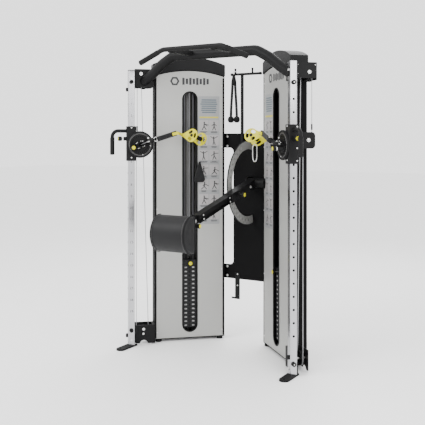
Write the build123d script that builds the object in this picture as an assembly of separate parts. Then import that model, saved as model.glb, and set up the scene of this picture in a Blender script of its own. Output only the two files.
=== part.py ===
# Corner functional trainer: two splayed weight towers, two chrome columns with sliding pulley
# carriages, an overhead cross tube with a chin bar, and a swinging chest pad between the towers.
# Millimetres, +X to the user's right, +Y to the back, +Z up, standing on the floor.
# Tower-side parts are drawn in a tower frame (u outward along the tower's face, v backward from
# it, z up), placed on the right side and mirrored to the left.
import os
from math import atan2, cos, degrees, hypot, radians, sin

from build123d import *

# ---- driving dimensions ----------------------------------------------------------------------
SPLAY = 43.0                     # turn of each tower's face away from straight ahead
CORNER = (186.8, 101.3)          # inner front corner of the right tower, x and y
TOWER_IN, TOWER_OUT = -15.0, 550.0
TOWER_DEEP = 125.0
TOWER_TOP, TOWER_PEAK = 2108.0, 2150.0
CAP_TOP, CAP_PEAK = 2195.0, 2255.0
WALL = 6.0
SLOT_U, SLOT_HALF = 267.0, 60.0
SLOT_LOW, SLOT_HIGH = 70.0, 1980.0

STACK_V = 62.0                   # centre plane of the weight stack
ROD_HALF_SPAN, ROD_R = 36.0, 12.0
PLATE_COUNT, PLATE_PITCH, PLATE_THICK = 15, 33.0, 32.0
PLATE_FIRST = 100.0
PLATE_HALF_W, PLATE_HALF_D = 110.0, 42.0
HEAD_Z, HEAD_THICK = 597.0, 40.0
PIN_Z = HEAD_Z + HEAD_THICK / 2
BEAM_Z = 1985.0

COLUMN_U, COLUMN_V, COLUMN_W = 740.0, -63.0, 50.0
COLUMN_LOW, COLUMN_TOP = 12.0, 2130.0
HOLE_FIRST, HOLE_PITCH, HOLE_COUNT, HOLE_R = 271.5, 88.9, 19, 6.5
CARRIAGE_PIN_Z = HOLE_FIRST + 15 * HOLE_PITCH
SLEEVE_HALF = 37.0
SLEEVE_LOW, SLEEVE_HIGH = 1435.0, 1700.0
SLEEVE_FRONT = COLUMN_V - SLEEVE_HALF

SWIVEL_U, SWIVEL_Z = 676.0, 1560.0
DISC_R, DISC_BACK, DISC_FRONT = 101.0, -100.0, -112.0
INDEX_R = 62.0
ARM_LIFT = 22.0                  # the swivel arms point inward and up by this angle
CHAIN_DROP = 4.0                 # the handle's straps sag below the swivel arm's line
CABLE_OUT_V = -165.0

STRAP_U, STRAP_TOP, STRAP_LOW = 191.0, 1425.0, 1258.0   # spare strap handle on the left tower

CABLE_R = 2.6
BACK_PLANE, FRONT_PLANE = 107.0, 35.0   # v of the two cable planes behind the column
LIFT_PULLEY_R = 45.0
LIFT_PULLEY_Z = 2050.0
UPPER_RUN_U = SWIVEL_U            # centre lines of the cable runs
LOWER_RUN_U = 690.0
BOTTOM_PULLEY_Z = 84.0
RETURN_TOP_U = 651.0
TOWER_PULLEY_R = 38.0
FLOAT_R = (BACK_PLANE - FRONT_PLANE) / 2 - CABLE_R
FLOAT_V = (BACK_PLANE + FRONT_PLANE) / 2
FLOAT_Z = 760.0
CARRIAGE_PULLEY_R = 32.0
CARRIAGE_AXLE_V = BACK_PLANE - CARRIAGE_PULLEY_R - CABLE_R
CARRIAGE_AXLE_Z = SWIVEL_Z + CARRIAGE_PULLEY_R + CABLE_R
WRAP_R = LIFT_PULLEY_R + CABLE_R
LIFT_U, TURN_U, LOW_U = UPPER_RUN_U - WRAP_R, RETURN_TOP_U - WRAP_R, LOWER_RUN_U - WRAP_R
OVERHEAD_Z = LIFT_PULLEY_Z + WRAP_R
TOWER_AXLE_U = SLOT_U + TOWER_PULLEY_R + CABLE_R
TOWER_AXLE_Z = OVERHEAD_Z - TOWER_PULLEY_R - CABLE_R

TUBE_Y, TUBE_R, TUBE_Z = -350.0, 38.0, 2235.0
BAR_Y, BAR_R, BAR_Z = -650.0, 17.5, 2245.0

PANEL_Y, PANEL_THICK = 155.0, 4.0
PIVOT_Y, PIVOT_Z = 88.0, 1260.0
SECTOR_X, SECTOR_THICK = 53.0, 10.0
SECTOR_OUT, SECTOR_IN = 326.0, 262.0
SECTOR_MID = (SECTOR_OUT + SECTOR_IN) / 2
ARM_REACH, ARM_SLOPE = 890.0, 14.2
ARM_STEP, ARM_END = 390.0, 846.0
TILT_R = 31.0                    # radius of the pad's index holes about its hinge
PAD_HALF_W, PAD_BACK, PAD_FRONT = 155.0, -830.0, -963.0
PAD_LOW, PAD_HIGH = 825.0, 1090.0

RACK_X, RACK_Y, RACK_Z = -20.0, 125.0, 2118.0
ROPE_X = -82.0


# ---- small builders --------------------------------------------------------------------------
def block(x0, x1, y0, y1, z0, z1):
    """A box between two corners."""
    middle = Pos((x0 + x1) / 2, (y0 + y1) / 2, (z0 + z1) / 2)
    return middle * Box(x1 - x0, y1 - y0, z1 - z0)


def bar(start, end, radius):
    """A round bar between two points."""
    a, b = Vector(*start), Vector(*end)
    plane = Plane(origin=a, z_dir=(b - a).normalized())
    return Solid.make_cylinder(radius, (b - a).length, plane)


def pipe(start, end, outer, inner):
    """A round tube between two points."""
    return bar(start, end, outer) - bar(start, end, inner)


def across(sketch, v0, v1):
    """A sketch drawn in u and z, as a plate between two values of v."""
    plane = Plane(origin=(0, v1, 0), x_dir=(1, 0, 0), z_dir=(0, -1, 0))
    return extrude(plane * sketch, amount=v1 - v0)


def along(sketch, u0, u1):
    """A sketch drawn in v and z, as a plate between two values of u."""
    plane = Plane(origin=(u0, 0, 0), x_dir=(0, 1, 0), z_dir=(1, 0, 0))
    return extrude(plane * sketch, amount=u1 - u0)


def bent(points, bend, outer, inner=0.0):
    """A round tube swept along straight runs joined by tangent arcs."""
    path = FilletPolyline(*points, radius=bend)
    start = Plane(origin=path @ 0, z_dir=path % 0)
    section = Circle(outer) - Circle(inner) if inner else Circle(outer)
    return sweep(start * section, path=path)


def arc_bar(centre, radius, start, sweep_deg, plane_v, thick):
    """Part of a ring of round bar about an axis along v; angles run from +u towards +z."""
    ring = Plane(origin=(centre[0], plane_v, centre[1]), x_dir=(1, 0, 0), z_dir=(0, -1, 0))
    path = ring * CenterArc((0, 0), radius, start, sweep_deg)
    section = Plane(origin=path @ 0, z_dir=path % 0) * Circle(thick)
    return sweep(section, path=path)


def pulley(groove_r, width, bore):
    """A cable pulley about the Z axis, centred on the origin, with five lightening holes."""
    rim = groove_r + 5
    wheel = Cylinder(rim, width) - Cylinder(bore, width + 2)
    wheel -= Torus(groove_r + CABLE_R, CABLE_R + 0.4)
    wheel -= Cylinder(rim + 1, 2 * CABLE_R + 0.8) - Cylinder(groove_r + CABLE_R, 2 * CABLE_R + 0.8)
    web = Cylinder(rim - 9, width) - Cylinder(bore + 7, width)
    recess = (width - 6) / 2
    wheel -= Pos(0, 0, width / 2) * (web & Box(200, 200, 2 * recess))
    wheel -= Pos(0, 0, -width / 2) * (web & Box(200, 200, 2 * recess))
    hole = (rim - bore - 16) / 2 - 1.5
    for place in PolarLocations((rim - 9 + bore + 7) / 2, 5):
        wheel -= place * Cylinder(hole, width)
    return wheel


def about_v(u, v, z):
    """Turns a wheel's Z axis along v at a point."""
    return Pos(u, v, z) * Rot(90, 0, 0)


def about_u(u, v, z):
    """Turns a wheel's Z axis along u at a point."""
    return Pos(u, v, z) * Rot(0, 90, 0)


# ---- tower -----------------------------------------------------------------------------------
def arched(u0, u1, low, corner, peak):
    """An upright outline with a shallow arched top."""
    outline = Line((u0, low), (u1, low))
    outline += Line((u1, low), (u1, corner))
    outline += ThreePointArc((u1, corner), ((u0 + u1) / 2, peak), (u0, corner))
    outline += Line((u0, corner), (u0, low))
    return make_face(outline)


def slot_outline(half):
    """The tall round-ended slot, grown or shrunk to a half width."""
    grow = half - SLOT_HALF
    high = SLOT_HIGH - SLOT_LOW + 2 * grow
    return Pos(SLOT_U, (SLOT_LOW + SLOT_HIGH) / 2) * Rot(0, 0, 90) * SlotOverall(high, 2 * half)


def tower_case():
    """Black open-fronted casing with a cable window near the top of its outer side."""
    shell = across(arched(TOWER_IN, TOWER_OUT, 20, TOWER_TOP, TOWER_PEAK), 0, TOWER_DEEP)
    inner = arched(TOWER_IN + WALL, TOWER_OUT - WALL, 20 + WALL, TOWER_TOP - WALL, TOWER_PEAK - WALL)
    shell -= across(inner, -1, TOWER_DEEP - WALL)
    shell -= block(TOWER_OUT - WALL - 2, TOWER_OUT + 2, 18, 118, 2062, 2101)
    return shell


def front_shroud():
    """Silver front panel, set inside the casing's rim, with the stack slot."""
    edge = WALL + 1
    outline = arched(TOWER_IN + edge, TOWER_OUT - edge, 20 + edge, TOWER_TOP - edge, TOWER_PEAK - edge)
    return across(outline - slot_outline(SLOT_HALF), 0, 5)


def slot_trim():
    """Black rubber edging clipped round the slot."""
    lip = across(slot_outline(SLOT_HALF + 3) - slot_outline(SLOT_HALF - 6), -3, 0)
    stem = across(slot_outline(SLOT_HALF - 0.1) - slot_outline(SLOT_HALF - 6), 0, 8)
    return lip + stem


def tower_frame():
    """Steel inside the casing: floor plate, uprights, top beam, pulley ears and stack bumpers."""
    parts = [block(TOWER_IN + 8, TOWER_OUT - 8, 6, 117, 26, 34)]
    for u in (30, 505):
        upright = block(u - 20, u + 20, 32, 92, 34, 2085)
        upright -= block(u - 17, u + 17, 35, 89, 34, 2085)
        upright -= block(u - 22, u + 22, 26, 43, 2040, 2085)
        upright -= block(u - 22, u + 22, 96, 118, 2040, 2085)
        parts.append(upright)
    beam = block(50, 485, 43, 83, BEAM_Z, BEAM_Z + 20)
    for side in (-1, 1):
        rod_u = SLOT_U + side * ROD_HALF_SPAN
        beam -= bar((rod_u, STACK_V, BEAM_Z - 1), (rod_u, STACK_V, BEAM_Z + 21), ROD_R)
    parts.append(beam)
    for v in (50, 70):
        ear = block(TOWER_AXLE_U - 20, TOWER_AXLE_U + 20, v, v + 6, BEAM_Z + 20, TOWER_AXLE_Z + 18)
        parts.append(ear - bar((TOWER_AXLE_U, v - 1, TOWER_AXLE_Z), (TOWER_AXLE_U, v + 7, TOWER_AXLE_Z), 8))
    parts.append(bar((TOWER_AXLE_U, 22, TOWER_AXLE_Z), (TOWER_AXLE_U, 117, TOWER_AXLE_Z), 8))
    for side in (-1, 1):
        rod_u = SLOT_U + side * ROD_HALF_SPAN
        parts.append(pipe((rod_u, STACK_V, 34), (rod_u, STACK_V, PLATE_FIRST), 26, ROD_R))
    parts.append(slot_trim())
    return parts


def top_cap():
    """Black moulded cap over the tower, open below."""
    cap = across(arched(TOWER_IN - 4, TOWER_OUT + 12, 2040, CAP_TOP, CAP_PEAK), -5, TOWER_DEEP + 5)
    cap -= across(arched(TOWER_IN + 2, TOWER_OUT + 6, 2000, CAP_TOP - 6, CAP_PEAK - 6), 1, TOWER_DEEP - 1)
    below = arched(TOWER_IN, TOWER_OUT, 1900, TOWER_TOP, TOWER_PEAK)
    return cap - across(below + Pos(SLOT_U, 2050) * Rectangle(700, 2 * (TOWER_TOP - 2050)), -20, 150)


def guide_rods():
    rods = []
    for side in (-1, 1):
        u = SLOT_U + side * ROD_HALF_SPAN
        rods.append(bar((u, STACK_V, 34), (u, STACK_V, BEAM_Z + 20), ROD_R))
    return rods


def weight_plates():
    """Stack of identical plates with two rod holes, a selector hole and a pin hole."""
    plates = []
    for index in range(PLATE_COUNT):
        low = PLATE_FIRST + index * PLATE_PITCH
        plate = block(SLOT_U - PLATE_HALF_W, SLOT_U + PLATE_HALF_W,
                      STACK_V - PLATE_HALF_D, STACK_V + PLATE_HALF_D, low, low + PLATE_THICK)
        for side in (-1, 1):
            u = SLOT_U + side * ROD_HALF_SPAN
            plate -= bar((u, STACK_V, low - 1), (u, STACK_V, low + PLATE_THICK + 1), ROD_R + 0.5)
        plate -= bar((SLOT_U, STACK_V, low - 1), (SLOT_U, STACK_V, low + PLATE_THICK + 1), 13.5)
        middle = low + PLATE_THICK / 2
        plate -= bar((SLOT_U, 0, middle), (SLOT_U, STACK_V, middle), 5.6)
        plates.append(plate)
    return plates


def head_plate():
    """Moving top plate with bushes, selector rod and the floating pulley's two ears and axle."""
    head = block(SLOT_U - PLATE_HALF_W, SLOT_U + PLATE_HALF_W,
                 STACK_V - PLATE_HALF_D, STACK_V + PLATE_HALF_D, HEAD_Z, HEAD_Z + HEAD_THICK)
    top = HEAD_Z + HEAD_THICK
    for side in (-1, 1):
        u = SLOT_U + side * ROD_HALF_SPAN
        head += bar((u, STACK_V, top), (u, STACK_V, top + 63), ROD_R + 5)
        head -= bar((u, STACK_V, HEAD_Z - 1), (u, STACK_V, top + 64), ROD_R + 0.5)
        ear_u = SLOT_U + side * 14.5
        ear = block(ear_u - 2.5, ear_u + 2.5, 55, 87, top, FLOAT_Z + 16)
        head += ear
    selector = bar((SLOT_U, STACK_V, PLATE_FIRST + 8), (SLOT_U, STACK_V, HEAD_Z), 12)
    for index in range(PLATE_COUNT):
        middle = PLATE_FIRST + index * PLATE_PITCH + PLATE_THICK / 2
        selector -= bar((SLOT_U, 40, middle), (SLOT_U, 90, middle), 5.6)
    head -= bar((SLOT_U, 0, PIN_Z), (SLOT_U, STACK_V, PIN_Z), 5.3)
    axle_start, axle_end = (SLOT_U - 17, FLOAT_V, FLOAT_Z), (SLOT_U + 17, FLOAT_V, FLOAT_Z)
    head -= bar(axle_start, axle_end, 6)
    return [head, selector, bar(axle_start, axle_end, 6)]


def selector_pin():
    """Pin with a round pull knob, standing through the slot into the head plate."""
    shaft = bar((SLOT_U, -12, PIN_Z), (SLOT_U, 52, PIN_Z), 5)
    knob = bar((SLOT_U, -34, PIN_Z), (SLOT_U, -10, PIN_Z), 18)
    return knob.fillet(4, knob.edges().filter_by(GeomType.CIRCLE)) + shaft


def floating_pulley():
    return about_u(SLOT_U, FLOAT_V, FLOAT_Z) * pulley(FLOAT_R, 18, 6.05)


def tower_top_pulleys():
    """Two pulleys on the tower's top axle, and the turning pulley of the return run."""
    wheel = pulley(TOWER_PULLEY_R, 16, 8)
    wheels = [about_v(TOWER_AXLE_U, v, TOWER_AXLE_Z) * wheel for v in (BACK_PLANE, FRONT_PLANE)]
    return wheels + [about_v(TURN_U, FRONT_PLANE, LIFT_PULLEY_Z) * pulley(LIFT_PULLEY_R, 18, 8)]


# ---- column, brackets and cable runs ---------------------------------------------------------
def column():
    """Square chrome tube with a row of pin holes down its outer face."""
    half, wall = COLUMN_W / 2, 4
    tube = block(COLUMN_U - half, COLUMN_U + half, COLUMN_V - half, COLUMN_V + half, COLUMN_LOW, COLUMN_TOP)
    tube = fillet(tube.edges().filter_by(Axis.Z), 4)
    core = half - wall
    tube -= block(COLUMN_U - core, COLUMN_U + core, COLUMN_V - core, COLUMN_V + core, COLUMN_LOW, COLUMN_TOP)
    for index in range(HOLE_COUNT):
        z = HOLE_FIRST + index * HOLE_PITCH
        tube -= bar((COLUMN_U + core - 1, COLUMN_V, z), (COLUMN_U + half + 1, COLUMN_V, z), HOLE_R)
    return tube


def column_plug():
    half = COLUMN_W / 2
    return block(COLUMN_U - half, COLUMN_U + half, COLUMN_V - half, COLUMN_V + half, COLUMN_TOP, COLUMN_TOP + 6)


def top_bracket():
    """Welded box between tower and column that carries the upper pulleys."""
    low, high = 2008, 2149
    front = block(567, COLUMN_U + 25, -38, -32, low, 2130) + block(567, 711, -38, -32, low, high)
    front -= bar((660, -40, 2112), (660, -30, 2112), 9)
    middle = block(569, 705, 68, 74, low, 2130)
    rear = block(563, 711, 124, 130, low, 2130)
    inner = block(563, 569, -38, 130, low, 2130)
    inner -= block(560, 572, 20, 122, 2075, 2112) + block(560, 572, 20, 50, 2000, 2112)
    outer = block(705, 711, -32, 130, low + 12, 2130)
    outer -= bar((700, 75, 2063), (715, 75, 2063), 9)
    roof = block(569, 705, -32, 124, 2124, 2130)
    box = front + middle + rear + inner + outer + roof
    box -= bar((TURN_U, -40, LIFT_PULLEY_Z), (TURN_U, 75, LIFT_PULLEY_Z), 8)
    return box - bar((LIFT_U, 60, LIFT_PULLEY_Z), (LIFT_U, 150, LIFT_PULLEY_Z), 8)


def bottom_bracket():
    """Low welded bracket with an arched foot that carries the bottom pulley."""
    low, high = 8, 150
    front = block(563, 700, -38, -32, low, high) + block(700, COLUMN_U + 25, -38, -32, COLUMN_LOW, 95)
    rear = block(563, 700, 66, 72, low, high)
    inner = block(TOWER_OUT, 569, -38, 72, low, high)
    bracket = front + rear + inner
    bracket -= bar((LOW_U - 5, -45, 0), (LOW_U - 5, 80, 0), 33)
    return bracket - bar((LOW_U, -45, BOTTOM_PULLEY_Z), (LOW_U, 80, BOTTOM_PULLEY_Z), 8)


def lift_pulley():
    return about_v(LIFT_U, BACK_PLANE, LIFT_PULLEY_Z) * pulley(LIFT_PULLEY_R, 18, 8.05)


def bottom_pulley():
    return about_v(LOW_U, FRONT_PLANE, BOTTOM_PULLEY_Z) * pulley(LIFT_PULLEY_R, 18, 8.05)


def side_bolts():
    """Pulley axles, column bumpers and bracket bolts of one side."""
    parts = [bar((TURN_U, -37, LIFT_PULLEY_Z), (TURN_U, 74, LIFT_PULLEY_Z), 8)]
    parts.append(bar((LIFT_U, 68, LIFT_PULLEY_Z), (LIFT_U, 138, LIFT_PULLEY_Z), 8))
    parts.append(bar((LOW_U, -46, BOTTOM_PULLEY_Z), (LOW_U, 80, BOTTOM_PULLEY_Z), 8))
    face = COLUMN_U + COLUMN_W / 2
    for z in (1985, 84):
        parts.append(bar((face, COLUMN_V, z), (face + 14, COLUMN_V, z), 9))
    front = COLUMN_V - COLUMN_W / 2
    parts.append(bar((COLUMN_U, front - 8, 2070), (COLUMN_U, front, 2070), 9))
    parts.append(bar((COLUMN_U, front - 8, 52), (COLUMN_U, front, 52), 9))
    return parts


def fixed_cables():
    """The cable where it never changes length: over the top pulleys and round the bottom one."""
    parts = []
    for v, wheel_u in ((BACK_PLANE, LIFT_U), (FRONT_PLANE, TURN_U)):
        parts.append(arc_bar((wheel_u, LIFT_PULLEY_Z), WRAP_R, 0, 90, v, CABLE_R))
        parts.append(arc_bar((TOWER_AXLE_U, TOWER_AXLE_Z), TOWER_PULLEY_R + CABLE_R, 90, 90, v, CABLE_R))
        parts.append(bar((TOWER_AXLE_U, v, OVERHEAD_Z), (wheel_u, v, OVERHEAD_Z), CABLE_R))
    parts.append(arc_bar((LOW_U, BOTTOM_PULLEY_Z), WRAP_R, 180, 180, FRONT_PLANE, CABLE_R))
    low, top = (LOW_U - WRAP_R, FRONT_PLANE, BOTTOM_PULLEY_Z), (RETURN_TOP_U, FRONT_PLANE, LIFT_PULLEY_Z)
    parts.append(bar(low, top, CABLE_R))
    return parts


def upper_cable():
    return bar((UPPER_RUN_U, BACK_PLANE, CARRIAGE_AXLE_Z), (UPPER_RUN_U, BACK_PLANE, LIFT_PULLEY_Z), CABLE_R)


def lower_cable():
    low, top = (LOWER_RUN_U, FRONT_PLANE, BOTTOM_PULLEY_Z), (LOWER_RUN_U, FRONT_PLANE, SWIVEL_Z - 20)
    return bar(low, top, CABLE_R)


def stack_cables():
    """The two runs from the tower's top pulleys to the floating pulley."""
    return [bar((SLOT_U, v, FLOAT_Z), (SLOT_U, v, TOWER_AXLE_Z), CABLE_R) for v in (BACK_PLANE, FRONT_PLANE)]


# ---- carriage --------------------------------------------------------------------------------
def carriage():
    """Sleeve on the column with its lift handle, index disc, hollow hub and pulley cheeks."""
    outer, inner = SLEEVE_HALF, COLUMN_W / 2 + 0.4
    sleeve = block(COLUMN_U - outer, COLUMN_U + outer, COLUMN_V - outer, COLUMN_V + outer,
                   SLEEVE_LOW, SLEEVE_HIGH)
    sleeve = fillet(sleeve.edges().filter_by(Axis.Z), 6)
    sleeve -= block(COLUMN_U - inner, COLUMN_U + inner, COLUMN_V - inner, COLUMN_V + inner,
                    SLEEVE_LOW - 1, SLEEVE_HIGH + 1)
    face = COLUMN_U + outer
    sleeve += bar((face, COLUMN_V, CARRIAGE_PIN_Z), (face + 22, COLUMN_V, CARRIAGE_PIN_Z), 15)
    disc = bar((SWIVEL_U, DISC_FRONT, SWIVEL_Z), (SWIVEL_U, DISC_BACK, SWIVEL_Z), DISC_R)
    sleeve += disc
    sleeve += bar((SWIVEL_U, DISC_BACK, SWIVEL_Z), (SWIVEL_U, 10, SWIVEL_Z), 26)
    sleeve += block(SWIVEL_U, 703, -96, -30, SWIVEL_Z - 60, SWIVEL_Z + 60)
    for u in (652, 696):
        cheek = block(u, u + 6, -30, 122, 1536, 1650)
        sleeve += fillet(cheek.edges().filter_by(Axis.X).sort_by(Axis.Y)[-2:], 26)
    sleeve += block(656, 698, -30, -22, 1536, 1650)
    sleeve -= bar((640, CARRIAGE_AXLE_V, CARRIAGE_AXLE_Z), (710, CARRIAGE_AXLE_V, CARRIAGE_AXLE_Z), 7)
    sleeve += block(686, 696, 29, 41, SWIVEL_Z - 20, SWIVEL_Z - 7)
    sleeve -= bar((SWIVEL_U, DISC_FRONT - 1, SWIVEL_Z), (SWIVEL_U, 20, SWIVEL_Z), 12)
    sleeve -= bar((face - 14, COLUMN_V, CARRIAGE_PIN_Z), (face + 23, COLUMN_V, CARRIAGE_PIN_Z), 6.3)
    for step in range(24):
        turn = radians(15 * step - ARM_LIFT)
        u, z = SWIVEL_U + INDEX_R * cos(turn), SWIVEL_Z + INDEX_R * sin(turn)
        sleeve -= bar((u, DISC_FRONT - 1, z), (u, DISC_FRONT + 10, z), 5.4)
    lift = [(face, COLUMN_V, 1665), (885, COLUMN_V, 1665), (885, COLUMN_V, 1500)]
    handle = bent(lift, 45, 14)
    grip = pipe((885, COLUMN_V, 1488), (885, COLUMN_V, 1612), 17.5, 14)
    axle = bar((652, CARRIAGE_AXLE_V, CARRIAGE_AXLE_Z), (702, CARRIAGE_AXLE_V, CARRIAGE_AXLE_Z), 7)
    return [sleeve, handle, grip, axle]


def carriage_pulley():
    return about_u(SWIVEL_U, CARRIAGE_AXLE_V, CARRIAGE_AXLE_Z) * pulley(CARRIAGE_PULLEY_R, 16, 7.05)


def pop_pin():
    """Spring-loaded height pin, drawn pulled back so that its tip is clear of the column."""
    tip, face = COLUMN_U + COLUMN_W / 2 + 1, COLUMN_U + SLEEVE_HALF
    shaft = bar((tip, COLUMN_V, CARRIAGE_PIN_Z), (face + 40, COLUMN_V, CARRIAGE_PIN_Z), 6)
    knob = bar((face + 33, COLUMN_V, CARRIAGE_PIN_Z), (face + 66, COLUMN_V, CARRIAGE_PIN_Z), 18)
    return shaft + knob.fillet(5, knob.edges().filter_by(GeomType.CIRCLE))


# The swivel frame: x along the swivel arm, y backward, origin on the swivel axis.
SWIVEL = Plane(origin=(SWIVEL_U, 0, SWIVEL_Z),
               x_dir=(-cos(radians(ARM_LIFT)), 0, sin(radians(ARM_LIFT))),
               z_dir=(-sin(radians(ARM_LIFT)), 0, -cos(radians(ARM_LIFT))))
CHAIN_X = 50.0
YOKE_BACK = DISC_FRONT - 1.5
SWIVEL_PULLEY_R = 22.0


def swivel_yoke():
    """Turning head in front of the disc: base, two cheeks, a pair of small pulleys, pin housing."""
    base = bar((0, YOKE_BACK - 16, 0), (0, YOKE_BACK, 0), 33)
    base += block(-INDEX_R - 16, 0, YOKE_BACK - 16, YOKE_BACK, -18, 18)
    base += bar((-INDEX_R, YOKE_BACK - 60, 0), (-INDEX_R, YOKE_BACK, 0), 14)
    base -= bar((0, YOKE_BACK - 20, 0), (0, YOKE_BACK + 1, 0), 11)
    base -= bar((-INDEX_R, YOKE_BACK - 61, 0), (-INDEX_R, YOKE_BACK + 1, 0), 5.3)
    for side in (-1, 1):
        cheek = Pos(0, (YOKE_BACK + CABLE_OUT_V - 20) / 2, side * 15)
        cheek *= Box(96, YOKE_BACK - CABLE_OUT_V + 20, 5)
        cheek = fillet(cheek.edges().filter_by(Axis.Z).sort_by(Axis.Y)[:2], 20)
        base += cheek
    parts = [base]
    for side in (-1, 1):
        wheel = Pos(side * (SWIVEL_PULLEY_R + CABLE_R), CABLE_OUT_V + SWIVEL_PULLEY_R, 0)
        wheel *= Cylinder(SWIVEL_PULLEY_R + 3, 24.8) - Torus(SWIVEL_PULLEY_R + CABLE_R, CABLE_R + 0.3)
        parts.append(wheel)
    return [SWIVEL.location * part for part in parts]


def swivel_pin():
    """Round pull pin of the swivel, drawn pulled back so that its tip is clear of the disc."""
    shaft = bar((-INDEX_R, -182, 0), (-INDEX_R, DISC_FRONT - 0.8, 0), 5)
    knob = bar((-INDEX_R, -206, 0), (-INDEX_R, -181, 0), 17)
    return SWIVEL.location * (shaft + knob.fillet(5, knob.edges().filter_by(GeomType.CIRCLE)))


# The handle frame: x along the straps, y backward, z down and inward; origin at its swing axis.
HANDLE = SWIVEL.location * Pos(CHAIN_X, CABLE_OUT_V, 0) * Rot(0, -CHAIN_DROP, 0)
HUB_NEAR = Vector(342, -38, 57)
HUB_FAR = Vector(415, 38, 112)
STRAP_END = Vector(245, 0, 8)
GRIP_DIR = (HUB_FAR - HUB_NEAR).normalized()


def teardrop(hub):
    """A spoked teardrop end plate about a hub, its neck towards the strap."""
    reach = STRAP_END - hub
    flat = (reach - GRIP_DIR * reach.dot(GRIP_DIR)).normalized()
    plate = Cylinder(52, 8) + Pos(84, 0, 0) * Cylinder(13, 8)
    plate += extrude(Pos(0, 0, -4) * Polygon((15, 50), (84, 13), (84, -13), (15, -50), align=None), 8, (0, 0, 1))
    for turn in (60, 180, 300):
        plate -= Rot(0, 0, turn) * Pos(30, 0, 0) * Rot(0, 0, 90) * extrude(SlotOverall(40, 24), 5, both=True)
    plate -= Pos(84, 0, 0) * Rot(0, 0, 90) * extrude(SlotOverall(18, 6), 5, both=True)
    return Plane(origin=hub, x_dir=flat, z_dir=GRIP_DIR).location * plate, hub + flat * 107


def handle_plates():
    return [HANDLE * teardrop(hub)[0] for hub in (HUB_NEAR, HUB_FAR)]


def handle_grip():
    """Cable stop, strap, fork strap and the round grip between the end plates."""
    grip = bar(HUB_NEAR + GRIP_DIR * 4, HUB_FAR - GRIP_DIR * 4.8, 16)
    stop = bar((26, 0, 0), (58, 0, 0), 20)
    stop = stop.fillet(8, stop.edges().filter_by(GeomType.CIRCLE))
    stop += bar((2, 0, 0), (28, 0, 0), CABLE_R)
    strap = block(62, 239, -5, 5, -11, 27)
    shackle = block(57, 63, -9, 9, -9, 13)
    parts = [grip, stop + shackle + strap]
    for hub in (HUB_NEAR, HUB_FAR):
        tip = teardrop(hub)[1]
        parts.append(bar(STRAP_END + (tip - STRAP_END).normalized() * 7, tip, 2.9))
    return [HANDLE * part for part in parts]


# ---- shared overhead and middle parts --------------------------------------------------------
TO_RIGHT = Pos(CORNER[0], CORNER[1], 0) * Rot(0, 0, -SPLAY)


def on_right(parts):
    parts = parts if isinstance(parts, list) else [parts]
    return [TO_RIGHT * part for part in parts]


def on_left(parts):
    return [mirror(part, about=Plane.YZ) for part in on_right(parts)]


def cross_tube():
    """Large bent tube over the machine, trimmed on the two top brackets."""
    half = [(360, 2235), (460, 2180), (560, 2100), (640, 2050)]
    points = [(-x, TUBE_Y, z) for x, z in reversed(half)] + [(x, TUBE_Y, z) for x, z in half]
    tube = bent(points, 110, TUBE_R, TUBE_R - 4)
    trim = block(400, 900, -38, 300, 1900, 2300)
    return tube - on_right(trim)[0] - on_left(trim)[0]


def chin_bar():
    """Pull-up bar with drooping ends, on two arms from the cross tube."""
    half = [(245, BAR_Z), (445, 2160)]
    points = [(-x, BAR_Y, z) for x, z in reversed(half)] + [(x, BAR_Y, z) for x, z in half]
    bar_tube = bent(points, 90, BAR_R)
    for side in (-1, 1):
        x = side * 180
        bar_tube += block(x - 20, x + 20, BAR_Y, TUBE_Y, 2222, 2258)
    return bar_tube - bar((-330, TUBE_Y, TUBE_Z), (330, TUBE_Y, TUBE_Z), TUBE_R)


def column_foot():
    """Rubber-faced foot plate under the column, pointing forward, with a floor anchor hole."""
    x, half = 685, 35
    foot = block(x - half, x + half, -575, -415, 0, 12) + bar((x, -575, 0), (x, -575, 12), half)
    return foot - bar((x, -580, -1), (x, -580, 13), 7)


def tower_feet():
    """Four round levelling feet under one tower."""
    return [bar((u, v, 0), (u, v, 20), 24) for u in (20, 515) for v in (22, 104)]


def back_panel():
    """Black sheet between the towers, cut away on the left between two bolted tabs."""
    sheet = Pos(46.5, 1064.5) * Rectangle(327, 1167)
    sheet += Pos(-166, 1590.5) * Rectangle(98, 115) + Pos(-166, 537) * Rectangle(98, 112)
    inner = [v for v in sheet.vertices() if abs(v.X + 117) < 1 and 560 < v.Y < 1570]
    sheet = fillet(inner, 34)
    sheet = fillet([v for v in sheet.vertices() if v.X < -200 or v.X > 209 or v.Y < 500 or v.Y > 1640], 9)
    plane = Plane(origin=(0, PANEL_Y + PANEL_THICK, 0), x_dir=(1, 0, 0), z_dir=(0, -1, 0))
    panel = extrude(plane * sheet, amount=PANEL_THICK)
    panel += block(204, 210, PANEL_Y, PANEL_Y + 30, 500, 1630)
    return panel


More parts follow.
